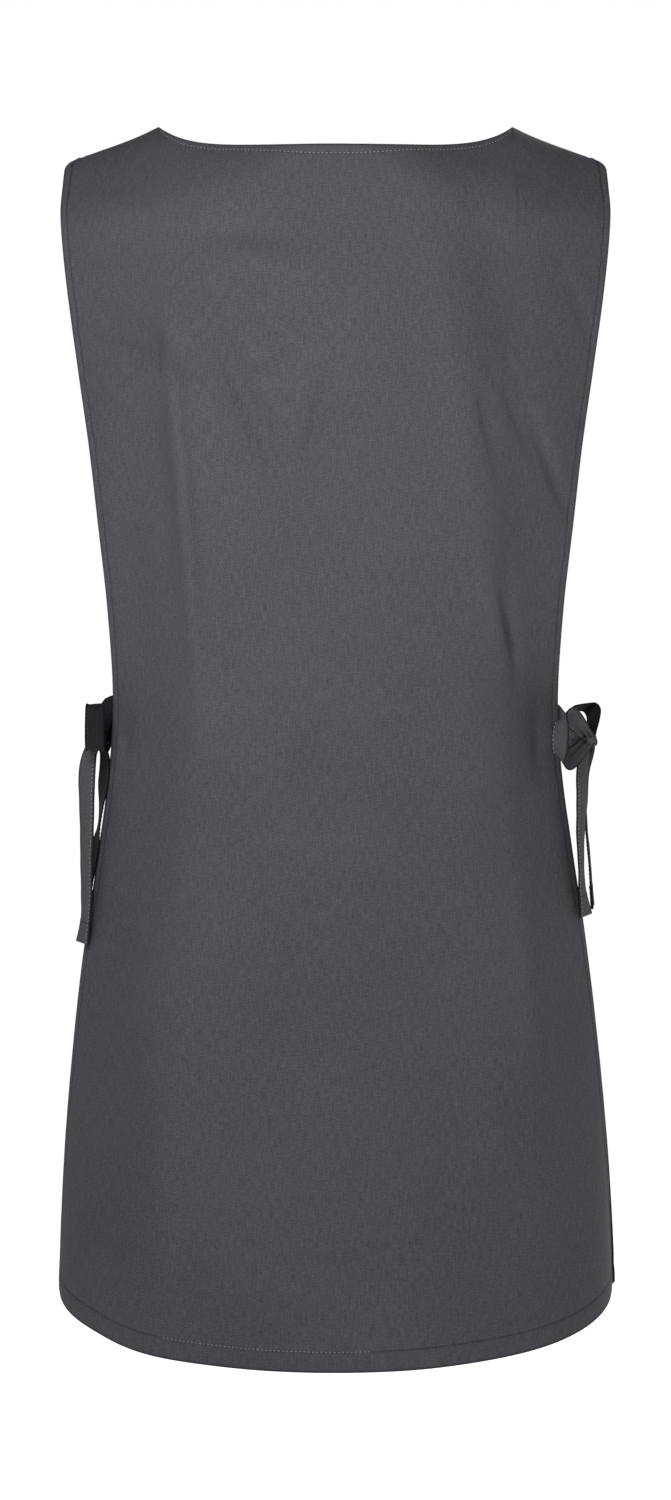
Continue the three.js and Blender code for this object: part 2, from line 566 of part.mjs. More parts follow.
// Each side's bow. The back tie runs through the knot and the front tie is knotted round it.
// loopLength, loopHeight and tailLength are shares of the sizes with the same names.
const BOWS = [
  {
    side: -1,
    knotOut: LEFT_KNOT_OUT,
    back: {
      name: 'tie_left_back',
      material: 'tie_twill',
      loopLength: 1,
      loopHeight: 0.97,
      loopOut: [-0.1, 0.95, 0.3],
      loopRise: [0, -0.3, 0.95],
      tailLength: 0.985,
      tail: [
        { down: 0, off: 0.62, ahead: 0.35, face: 0 },
        { down: 0.07, off: 1, ahead: 0.3, face: 14 },
        { down: 0.16, off: 1.12, ahead: 0.22, face: 30 },
        { down: 0.3, off: 1.02, ahead: 0.1, face: 40 },
        { down: 0.54, off: 0.76, ahead: -0.1, face: 50 },
        { down: 0.76, off: 0.52, ahead: -0.3, face: 56 },
        { down: 0.9, off: 0.38, ahead: -0.42, face: 60 },
        { down: 1, off: 0.4, ahead: -0.45, face: 50 },
      ],
    },
    front: {
      name: 'tie_left_front',
      material: 'tie_black',
      loopLength: 1,
      loopHeight: 1.065,
      loopOut: [0, -0.94, 0.34],
      loopRise: [0, 0.34, 0.94],
      tailLength: 0.8,
      tail: [
        { down: 0.02, off: 0.5, ahead: 0.42, face: 62 },
        { down: 0.1, off: 0.36, ahead: 0.35, face: 62 },
        { down: 0.22, off: 0.3, ahead: 0.2, face: 62 },
        { down: 0.5, off: 0.15, ahead: 0.08, face: 84 },
        { down: 0.66, off: 0.14, ahead: 0.05, face: 66 },
        { down: 1, off: 0.16, ahead: 0.12, face: 66 },
      ],
    },
  },
  {
    side: 1,
    knotOut: RIGHT_KNOT_OUT,
    back: {
      name: 'tie_right_back',
      material: 'tie_twill',
      loopLength: 0.64,
      loopHeight: 0.74,
      loopOut: [-0.3, 0.3, 0.9],
      loopRise: [1, 0.35, 0.2],
      tailLength: 0.828,
      tail: [
        { down: 0, off: 1.55, ahead: 0.45, face: 70 },
        { down: 0.08, off: 1.3, ahead: 0.7, face: 75 },
        { down: 0.2, off: 0.85, ahead: 0.85, face: 78 },
        { down: 0.4, off: 0.42, ahead: 0.88, face: 84 },
        { down: 0.7, off: 0.06, ahead: 0.88, face: 86 },
        { down: 1, off: -0.12, ahead: 0.85, face: 88 },
      ],
    },
    front: {
      name: 'tie_right_front',
      material: 'tie_twill',
      loopLength: 1.053,
      loopHeight: 1.097,
      loopOut: [-0.58, -0.81, 0.1],
      loopRise: [0, 0, 1],
      tailLength: 0.855,
      tail: [
        { down: 0.01, off: 1.62, ahead: 0.3, face: 42 },
        { down: 0.06, off: 1.52, ahead: 0.1, face: 42 },
        { down: 0.14, off: 1.36, ahead: -0.05, face: 46 },
        { down: 0.35, off: 1.04, ahead: -0.12, face: 56 },
        { down: 0.52, off: 0.78, ahead: -0.18, face: 64 },
        { down: 0.7, off: 0.64, ahead: -0.22, face: 72 },
        { down: 0.86, off: 0.5, ahead: -0.25, face: 66 },
        { down: 1, off: 0.42, ahead: -0.25, face: 52 },
      ],
    },
  },
];

BACK.profile = profileOf(BACK);
FRONT.profile = profileOf(FRONT);

// Where a side's knot sits: outward and a little ahead of the back panel's edge
function knotOf(bow) {
  const z = NECK_HEIGHT - TIE_DOWN - KNOT_DOWN;
  return besideEdge(BACK, bow.side, z, bow.knotOut, KNOT_AHEAD);
}

function backTie(bow, knot, grow) {
  return ball(knot, CORE_RADIUS, grow)
    .add(strap(stubFrames(BACK, bow.side, knot), grow))
    .add(strap(loopFrames(knot, bow.back), grow))
    .add(strap(tailFrames(knot, bow.side, bow.back), grow));
}

function frontTie(bow, knot) {
  return ball(knot, KNOT_RADIUS, 0)
    .add(strap(stubFrames(FRONT, bow.side, knot), 0))
    .add(strap(loopFrames(knot, bow.front), 0))
    .add(strap(tailFrames(knot, bow.side, bow.front), 0))
    .subtract(backTie(bow, knot, GAP));
}

const FINISHES = {
  panel_twill: { color: 0x57585d, roughness: 0.9, metalness: 0 },
  tie_twill: { color: 0x54555a, roughness: 0.9, metalness: 0 },
  tie_black: { color: 0x222326, roughness: 0.85, metalness: 0 },
};

function piece(name, geometry, finish) {
  const mesh = new THREE.Mesh(geometry, new THREE.MeshStandardMaterial(FINISHES[finish]));
  mesh.name = name;
  return mesh;
}

const apron = new THREE.Group();
apron.name = 'cobbler_apron';
apron.add(piece('back_panel', panelGeometry(BACK), 'panel_twill'));
apron.add(piece('front_panel', panelGeometry(FRONT), 'panel_twill'));
for (const bow of BOWS) {
  const knot = knotOf(bow);
  apron.add(piece(bow.back.name, fromManifold(backTie(bow, knot, 0)), bow.back.material));
  apron.add(piece(bow.front.name, fromManifold(frontTie(bow, knot)), bow.front.material));
}

export default apron;
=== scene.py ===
import math

import bpy
import numpy as np
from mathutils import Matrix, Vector


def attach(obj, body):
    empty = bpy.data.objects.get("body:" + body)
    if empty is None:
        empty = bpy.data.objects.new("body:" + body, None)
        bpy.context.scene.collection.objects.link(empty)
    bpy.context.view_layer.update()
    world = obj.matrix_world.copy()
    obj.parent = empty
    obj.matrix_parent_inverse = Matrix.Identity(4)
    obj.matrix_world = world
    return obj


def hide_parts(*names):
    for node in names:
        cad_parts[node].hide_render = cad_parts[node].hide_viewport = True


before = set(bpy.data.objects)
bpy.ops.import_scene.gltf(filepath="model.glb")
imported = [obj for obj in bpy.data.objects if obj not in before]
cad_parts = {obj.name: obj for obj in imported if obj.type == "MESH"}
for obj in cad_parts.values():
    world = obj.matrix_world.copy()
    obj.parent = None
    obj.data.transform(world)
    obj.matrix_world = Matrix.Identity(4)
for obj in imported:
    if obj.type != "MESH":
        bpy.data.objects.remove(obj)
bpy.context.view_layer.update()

# Sizes of the apron are in millimetres and MM turns them into metres.
MM = 0.001
TINY = 0.01

# Overall sizes, as the apron hangs
LENGTH = 842
WAIST_DOWN = 394
NECK_HEIGHT = 10
NECK_WIDTH = 244
BACK_NECK_DROP = 14.4
BACK_NECK_POWER = 6.5
FRONT_NECK_DROP = 105
FRONT_NECK_POWER = 2.2
SHOULDER_DROP = 22.9
SHOULDER_WIDTH = 377
WAIST_WIDTH = 310
HEM_WIDTH = 392
HEM_RISE = 30
HEM_RISE_POWER = 1.22
FRONT_HEM_SWING = 3.5

# How far the panels stand out from the shoulder line, and how far their side edges stay from it
BLADE_DEPTH = 100
BACK_WAIST_DEPTH = 89
BACK_HEM_DEPTH = 140
BUST_DEPTH = 122
FRONT_WAIST_DEPTH = 104
FRONT_HEM_DEPTH = 148
ARMHOLE_SETBACK = 40
WAIST_SETBACK = 20
HEM_SETBACK = 6

# Shoulder and armhole forms
SHOULDER_TURN = 70
NECK_TURN = 38
NECK_LIFT = 20
NECK_LIFT_REACH = 75
SEAM_BEND_START = 60
FLANK_SHARE = 0.33
FLANK_SOFTNESS = 0.3
EDGE_CALM = 4
NECK_SOFTNESS = 0.06
SHOULDER_SAG_POWER = 0.72
CORNER_RADIUS = 7
CORNER_SHARPNESS = 10
FOLD_DEPTH = 4

# Cloth and hems
WALL = 1.0
HEM_WALL = 2.0
TOP_HEM = 9
SIDE_HEM = 8
BOTTOM_HEM = 15
SEAM_GAP = 0.06
FIELD_SPACING = 5.0
ROW_POWER = 1.1

# The share of the half width over which the direction of the cloth's edge is read
EDGE_PROBE = 0.04

# Columns stand closer together near the neck point: by how much, and over which share of the width
NECK_CROWD = 1.2
NECK_CROWD_REACH = 0.12
CROWD_STEPS = 400

WAIST_Z = NECK_HEIGHT - WAIST_DOWN
HEM_Z = NECK_HEIGHT - LENGTH
SKIRT_LENGTH = LENGTH - WAIST_DOWN
NECK_HALF = NECK_WIDTH / 2
TURN_LENGTH = SHOULDER_TURN * math.pi / 2

# Cross sections. at runs from -1 at the neck through 0 at the waist to 1 at the hem. width, depth and
# setback are shares of the way from the waist's size to the shoulder's or the hem's, wrap is in degrees,
# and flat goes from 0 for a round section to 1 for a flat middle with two straight flanks.
SECTION_COLUMNS = ("at", "width", "depth", "setback", "wrap", "flat")
BACK_SECTIONS = (
    (-0.947, 0.93, -0.64, 0.5, 50, 0),
    (-0.9, 0.97, -0.3, 0.7, 50, 0),
    (-0.843, 1, -0.09, 0.8, 50, 0.1),
    (-0.716, 0.87, 0.55, 0.9, 52, 0.4),
    (-0.576, 0.65, 1, 1, 54, 0.7),
    (-0.439, 0.43, 1, 1, 55, 0.8),
    (-0.3, 0.255, 0.64, 0.9, 56, 0.8),
    (-0.157, 0.09, 0.27, 0.55, 58, 0.8),
    (0, 0, 0, 0, 60, 0.75),
    (0.112, 0.07, 0.02, 0.1, 62, 0.7),
    (0.24, 0.266, 0.14, 0.18, 65, 0.6),
    (0.368, 0.48, 0.29, 0.3, 69, 0.5),
    (0.493, 0.66, 0.45, 0.5, 74, 0.4),
    (0.621, 0.8, 0.59, 0.68, 79, 0.3),
    (0.751, 0.905, 0.73, 0.84, 84, 0.15),
    (0.879, 0.97, 0.88, 0.95, 88, 0.05),
    (1, 1, 1, 1, 90, 0),
)
FRONT_SECTIONS = (
    (-0.947, 0.93, -1.9, 0.5, 50, 0),
    (-0.9, 0.97, -1.4, 0.7, 50, 0),
    (-0.843, 1, -1, 0.8, 50, 0),
    (-0.716, 0.87, -0.28, 0.9, 52, 0.1),
    (-0.576, 0.65, 0.25, 1, 54, 0.2),
    (-0.439, 0.43, 0.78, 1, 56, 0.3),
    (-0.34, 0.3, 1, 0.94, 57, 0.3),
    (-0.157, 0.09, 0.62, 0.55, 58, 0.3),
    (0, 0, 0, 0, 60, 0.3),
    (0.112, 0.07, 0.01, 0.1, 62, 0.3),
    (0.24, 0.266, 0.1, 0.18, 65, 0.3),
    (0.368, 0.48, 0.23, 0.3, 69, 0.3),
    (0.493, 0.66, 0.41, 0.5, 74, 0.2),
    (0.621, 0.8, 0.58, 0.68, 79, 0.2),
    (0.751, 0.905, 0.74, 0.84, 84, 0.1),
    (0.879, 0.97, 0.88, 0.95, 88, 0),
    (1, 1, 1, 1, 90, 0),
)

# Folds and dents. across is a share of the half width, down and reach_down are shares of the length,
# depth is a share of FOLD_DEPTH, outward when positive, and lean is the shift across per share down.
FOLD_COLUMNS = ("across", "down", "reach_across", "reach_down", "depth", "lean")
BACK_FOLDS = (
    (-0.85, 0.07, 0.3, 0.024, 1.5, 0),
    (0.85, 0.07, 0.3, 0.024, 1, 0),
    (-0.66, 0.13, 0.24, 0.05, 0.9, 0),
    (-0.78, 0.168, 0.2, 0.03, -2.4, 6),
    (-0.62, 0.31, 0.065, 0.15, 1.3, 0.1),
    (-0.85, 0.35, 0.1, 0.13, -0.9, 0),
    (-0.35, 0.22, 0.08, 0.1, -1.1, 2),
    (-0.31, 0.09, 0.13, 0.014, -0.5, 0),
    (-0.08, 0.239, 0.035, 0.045, -0.5, -1.6),
    (0.5, 0.21, 0.12, 0.18, 0.9, 1),
    (0.72, 0.24, 0.12, 0.17, -1.5, 1),
    (0.62, 0.235, 0.035, 0.04, -0.5, 1),
    (0.84, 0.268, 0.045, 0.05, -0.8, 2.6),
    (0.76, 0.4, 0.04, 0.05, -0.8, 0.6),
    (-0.11, 0.5, 0.05, 0.03, -0.5, -3.6),
    (0.2, 0.56, 0.17, 0.02, 0.5, 0),
    (0.15, 0.606, 0.14, 0.01, -0.4, 0),
    (0.93, 0.49, 0.08, 0.04, -1, 0),
    (0.92, 0.61, 0.1, 0.05, -1.2, 0.5),
    (-0.9, 0.62, 0.12, 0.08, -0.7, -0.5),
    (0, 0.78, 0.3, 0.22, 1.4, 0),
    (0.48, 0.8, 0.17, 0.18, -1.2, 0.1),
    (0.76, 0.72, 0.07, 0.16, 1, 0),
    (-0.62, 0.82, 0.14, 0.22, 1.4, -0.1),
    (-0.86, 0.84, 0.1, 0.24, -1, -0.1),
)
FRONT_FOLDS = (
    (-0.62, 0.16, 0.14, 0.05, -0.6, 0),
    (0.62, 0.16, 0.14, 0.05, -0.6, 0),
    (-0.42, 0.44, 0.1, 0.12, 0.8, 0),
    (0.42, 0.44, 0.1, 0.12, 0.8, 0),
    (0, 0.46, 0.14, 0.12, -0.6, 0),
    (-0.55, 0.85, 0.18, 0.22, 0.8, 0),
    (0.55, 0.85, 0.18, 0.22, 0.8, 0),
)


def unit(vectors):
    return vectors / np.linalg.norm(vectors, axis=-1, keepdims=True)


def bell(distance):
    """1 at a distance of 0, and almost nothing from a distance of 2 on."""
    return np.exp(-(distance**2))


def step_down(value, place, softness):
    """From 1 before a place to 0 past it."""
    return 1 / (1 + np.exp((value - place) / softness))


def smooth_step(share):
    return share**2 * (3 - 2 * share)


def walked(points):
    """The distance to each point along the first axis of a line or a grid of points."""
    steps = np.linalg.norm(np.diff(points, axis=0), axis=-1)
    return np.concatenate([np.zeros_like(steps[:1]), np.cumsum(steps, axis=0)])


def named(columns, rows):
    """A table as one array for each column."""
    return dict(zip(columns, np.array(rows, float).T))


class Panel:
    """One panel's cut: which way it faces, its neckline, and its sections in millimetres."""

    def __init__(self, name, face, neck, depths, swing, sections, folds):
        self.name = name
        self.face = face
        self.neck_drop, self.neck_square, self.neck_round = neck
        self.swing = swing
        self.folds = folds
        table = named(SECTION_COLUMNS, sections)
        above = table["at"] < 0

        def between(share, shoulder, waist, hem):
            return waist + table[share] * (np.where(above, shoulder, hem) - waist)

        self.z = WAIST_Z - table["at"] * np.where(above, WAIST_DOWN, SKIRT_LENGTH)
        self.profile = {
            "half": between("width", SHOULDER_WIDTH, WAIST_WIDTH, HEM_WIDTH) / 2,
            "depth": between("depth", *depths),
            "setback": between("setback", ARMHOLE_SETBACK, WAIST_SETBACK, HEM_SETBACK),
            "wrap": np.radians(table["wrap"]),
            "flat": table["flat"],
        }


BACK = Panel(
    name="back_panel",
    face=-1,
    neck=(BACK_NECK_DROP, BACK_NECK_POWER, 1),
    depths=(BLADE_DEPTH, BACK_WAIST_DEPTH, BACK_HEM_DEPTH),
    swing=0,
    sections=BACK_SECTIONS,
    folds=BACK_FOLDS,
)
FRONT = Panel(
    name="front_panel",
    face=1,
    neck=(FRONT_NECK_DROP, FRONT_NECK_POWER, 1 / FRONT_NECK_POWER),
    depths=(BUST_DEPTH, FRONT_WAIST_DEPTH, FRONT_HEM_DEPTH),
    swing=FRONT_HEM_SWING,
    sections=FRONT_SECTIONS,
    folds=FRONT_FOLDS,
)


def curve(a, b, slope_a, slope_b, t):
    """A cubic from a at t = 0 to b at t = 1, with a slope at each end."""
    rise = b - a
    return a + t * (slope_a + t * (3 * rise - 2 * slope_a - slope_b + t * (slope_a + slope_b - 2 * rise)))


def section_at(panel, z):
    """The section at each height z, as smooth curves through the rows."""
    rows = panel.z
    last = len(rows) - 1
    z = np.clip(z, rows[-1], rows[0])
    i = np.clip(np.searchsorted(-rows, -z, side="right") - 1, 0, last - 1)
    before = np.maximum(i - 1, 0)
    after = np.minimum(i + 2, last)
    step = rows[i + 1] - rows[i]
    t = (z - rows[i]) / step
    cut = {}
    for key, values in panel.profile.items():
        a, b = values[i], values[i + 1]
        slope_a = (b - values[before]) / (rows[i + 1] - rows[before]) * step
        slope_b = (values[after] - a) / (rows[after] - rows[i]) * step
        cut[key] = curve(a, b, slope_a, slope_b, t)
    return cut


def fold_at(folds, across, z, size=FOLD_DEPTH):
    """How far a table of folds moves the cloth outward."""
    down = (NECK_HEIGHT - z) / LENGTH
    depth = np.zeros(np.broadcast(across, z).shape)
    for row in folds:
        fold = dict(zip(FOLD_COLUMNS, row))
        sideways = (across - fold["across"] - fold["lean"] * (down - fold["down"])) / fold["reach_across"]
        along = (down - fold["down"]) / fold["reach_down"]
        depth += size * fold["depth"] * bell(sideways) * bell(along)
    return depth


def flank_at(across):
    """A flat middle that turns softly into a straight flank, from 1 at the middle to 0 at the edge."""
    def soft(rise):
        return (1 + rise - np.hypot(1 - rise, FLANK_SOFTNESS)) / 2

    return (soft((1 - across) / FLANK_SHARE) - soft(0)) / (soft(1 / FLANK_SHARE) - soft(0))


def ridge_at(x, tip):
    """The height of the shoulder line at x, from the neck point down to the tip."""
    def soft(outward):
        return ((outward + np.hypot(outward, NECK_SOFTNESS)) / 2) ** SHOULDER_SAG_POWER

    outward = (x - NECK_HALF) / (tip - NECK_HALF)
    return NECK_HEIGHT + SHOULDER_DROP * (soft(0) - soft(outward)) / (soft(1) - soft(0))


def lift_at(panel, x):
    """How far above the shoulder line the turn-over starts, for an upright neckline and a smooth yoke."""
    tip = panel.profile["half"][0]
    x = np.minimum(np.abs(x), tip)
    bend = np.maximum(0, x - SEAM_BEND_START) / (tip - SEAM_BEND_START)
    smooth = NECK_HEIGHT - SHOULDER_DROP * bend**2
    return NECK_LIFT * bell(x / NECK_LIFT_REACH) + smooth - ridge_at(x, tip)


def cloth_point(panel, share, z, ridge, folded=True):
    """Points of the cloth's outer face. share runs from -1 to 1 between the side edges, and ridge is the
    height of the shoulder line over each point."""
    share, z, ridge = np.broadcast_arrays(share, z, ridge)
    cut = section_at(panel, z)
    angle = share * cut["wrap"]
    across = np.sin(angle) / np.sin(cut["wrap"])
    round_bulge = (np.cos(angle) - np.cos(cut["wrap"])) / (1 - np.cos(cut["wrap"]))
    bulge = round_bulge + cut["flat"] * (flank_at(np.abs(across)) - round_bulge)
    from_neck = np.clip(cut["half"] * np.abs(across) / NECK_HALF, 0, 1)
    turn = NECK_TURN + (SHOULDER_TURN - NECK_TURN) * smooth_step(from_neck)
    drop = ridge - z
    lift = lift_at(panel, cut["half"] * across) * smooth_step(np.clip(2 * drop / turn, 0, 1))
    below = np.clip((drop + lift) / turn, 0, 1)
    over = np.sqrt(1 - (1 - below) ** 2)
    fold = fold_at(panel.folds, across, z) if folded else 0
    into_corner = np.maximum(0, CORNER_RADIUS - np.maximum(0, drop))
    corner = CORNER_RADIUS - np.sqrt(CORNER_RADIUS**2 - into_corner**2)
    swing = panel.swing * np.maximum(0, (WAIST_Z - z) / SKIRT_LENGTH) ** 2
    x = cut["half"] * across + fold * np.sin(angle) * (1 - share**EDGE_CALM) + swing
    x = x - np.sign(share) * corner * np.abs(share) ** CORNER_SHARPNESS
    depth = cut["setback"] + (cut["depth"] - cut["setback"]) * bulge + fold * np.cos(angle)
    y = depth * over + SEAM_GAP / 2
    return np.stack([x, panel.face * y, z], axis=-1)


def edge_speed(panel, z):
    """How far the cloth's edge moves for a whole share, in millimetres."""
    edge = cloth_point(panel, 1.0, z, np.inf, folded=False)
    inner = cloth_point(panel, 1.0 - EDGE_PROBE, z, np.inf, folded=False)
    return np.linalg.norm(edge - inner, axis=-1) / EDGE_PROBE


def path_at(drop):
    """The path over the cloth from the shoulder line to a point that far below it."""
    turned = SHOULDER_TURN * np.arccos(np.clip(1 - drop / SHOULDER_TURN, -1, 1))
    return np.where(drop >= SHOULDER_TURN, TURN_LENGTH + drop - SHOULDER_TURN, turned)


def drop_at(path):
    """The opposite of path_at."""
    turned = SHOULDER_TURN * (1 - np.cos(path / SHOULDER_TURN))
    return np.where(path >= TURN_LENGTH, SHOULDER_TURN + path - TURN_LENGTH, turned)


def columns_of(panel, shares):
    """The shoulder line, the top edge and the hem over each column, the last two as paths."""
    half, wrap = panel.profile["half"][0], panel.profile["wrap"][0]
    x = np.abs(half * np.sin(shares * wrap) / np.sin(wrap))
    ridge = ridge_at(x, half)
    neck_share = np.minimum(1, x / NECK_HALF)
    neckline = panel.neck_drop * (1 - neck_share**panel.neck_square) ** panel.neck_round
    drop = np.where(x > NECK_HALF - TINY, 0, neckline + ridge - NECK_HEIGHT)
    hem = HEM_Z + HEM_RISE * (1 - np.cos(shares * math.pi / 2)) ** HEM_RISE_POWER
    return ridge, path_at(drop), path_at(ridge - hem)


# Where the lines of a cloth grid lie, in millimetres in from an edge
SIDE_LINES = (0, 0.25, 0.6, 1.0, 2.0, 3.4, 4.8, 5.8, 6.3, 6.8, 7.5, 8.2, 8.8, 10, 12.5, 16)
TOP_LINES = (0, 0.25, 0.6, 1.0, 2.0, 3.4, 4.8, 5.6, 6.1, 6.6, 7.1, 7.8, 8.6, 9.4, 12.5, 16)
BOTTOM_LINES = (0, 0.25, 0.6, 1.0, 2.4, 4.8, 7.6, 10.4, 12.6, 13.8, 14.3, 14.8, 15.4, 16, 18, 21)
GRID_EDGES = (np.s_[0, :], np.s_[-1, :], np.s_[:, 0], np.s_[:, -1])

# Steps in which the cloth is felt out below its top edge and for its normals, and how softly hems begin
TOP_PROBE = 40
TOP_PROBE_STEP = 0.5
NORMAL_SHARE_STEP = 0.002
NORMAL_PATH_STEP = 0.4
NECK_BLEND = 1.2
HEM_STEP = 0.25

# Distances of the lines of stitches from their edges. The bottom line has thread with a painted highlight
# between two x, and thread with painted shade outside them.
SIDE_STITCH = 6.3
TOP_STITCH = 6.6
BOTTOM_STITCH = 14.3
BOTTOM_HIGHLIGHT_FROM, BOTTOM_HIGHLIGHT_TO = -120, 25

# Slots of a stitch object's materials: thread with a painted highlight, a dark body that paints the shade of
# a needle hole, and thread with painted shade that is also the dark thread of black faces
HIGHLIGHT_STITCH, HOLE_SHADE, SHADE_AND_BLACK_STITCH = 0, 1, 2

# The groove that stitches pull, the roll of the hem and the puckers beside it, in millimetres
GROOVE_DEPTH = 0.35
GROOVE_REACH = 0.7
HEM_ROLL = 0.22
PUCKER_HEIGHT = 0.13
PUCKER_LONG = 4.1
PUCKER_DRIFT = 23
PUCKER_SHORT = 2.6
PUCKER_SHORT_SHARE = 0.6
PUCKER_SWELL = 37
PUCKER_MEAN = 0.7
PUCKER_SWING = 0.5

# Painted shade of the edges and of the grooves beside the stitches
PAINTED_SHADE_REACH = 1.3
SEAM_SHADE = 0.22
SEAM_SHADE_REACH = 0.7

# Fine creases on top of the folds, in the same columns, with depth a share of CREASE_DEPTH
CREASE_DEPTH = 3.2
CREASE_FREE = 10
BACK_CREASES = (
    (-0.615, 0.29, 0.035, 0.13, 1.5, 0.05),
    (-0.8, 0.183, 0.1, 0.03, 1.2, 7.6),
    (-0.76, 0.26, 0.12, 0.05, -1, 0),
    (-0.86, 0.215, 0.05, 0.012, 0.8, 5),
    (-0.31, 0.09, 0.13, 0.006, -0.9, 0),
    (-0.2, 0.11, 0.12, 0.008, 0.5, 3),
    (-0.08, 0.239, 0.02, 0.045, -1.1, -1.6),
    (0.58, 0.232, 0.022, 0.022, -1, 1.4),
    (0.745, 0.405, 0.024, 0.028, -1.7, 1.3),
    (0.7, 0.4, 0.05, 0.06, 0.7, 1.3),
    (0.85, 0.268, 0.026, 0.045, -1.2, 2.6),
    (0.8, 0.262, 0.022, 0.04, 0.8, 2.6),
    (0.76, 0.25, 0.026, 0.04, -0.9, 2.9),
    (0.92, 0.15, 0.03, 0.03, -0.7, 2.5),
    (-0.11, 0.5, 0.022, 0.028, -0.8, -3.6),
    (0.2, 0.557, 0.14, 0.007, 0.7, 0),
    (0.15, 0.606, 0.13, 0.005, -0.8, 1),
    (0.9, 0.5, 0.03, 0.03, -0.8, 0),
    (-0.93, 0.5, 0.03, 0.03, -0.6, 0),
    (-0.35, 0.22, 0.04, 0.09, -0.7, 1.8),
    (0.45, 0.2, 0.04, 0.1, 0.5, 1),
    (-0.72, 0.3, 0.05, 0.09, -0.5, 0.3),
    (0.74, 0.7, 0.05, 0.1, 0.5, 0),
    (-0.6, 0.84, 0.06, 0.12, 0.5, -0.1),
)
FRONT_CREASES = (
    (-0.7, 0.2, 0.04, 0.05, -0.9, -2),
    (0.7, 0.22, 0.04, 0.05, -0.9, 2),
    (-0.3, 0.47, 0.03, 0.03, -0.8, 3),
    (0.32, 0.5, 0.03, 0.03, -0.8, -3),
)

# Small ripples of the whole cloth: waves per metre across and down, phase and height in millimetres.
# They reach their full height RIPPLE_FREE from an edge.
RIPPLE_FREE = 40
RIPPLE_AT_EDGE = 0.25
RIPPLES = (
    (7.0, 3.1, 0.4, 0.45),
    (-4.6, 6.3, 1.9, 0.35),
    (11.0, -8.0, 3.3, 0.16),
    (17.0, 13.0, 5.1, 0.09),
    (-23.0, 19.0, 0.9, 0.06),
    (31.0, 37.0, 2.7, 0.035),
)


def ripple(u, v, phase):
    height = np.zeros(u.shape)
    for across, down, start, size in RIPPLES:
        height += size * np.sin(2 * math.pi * (across * u + down * v) * MM + start + phase)
    return height


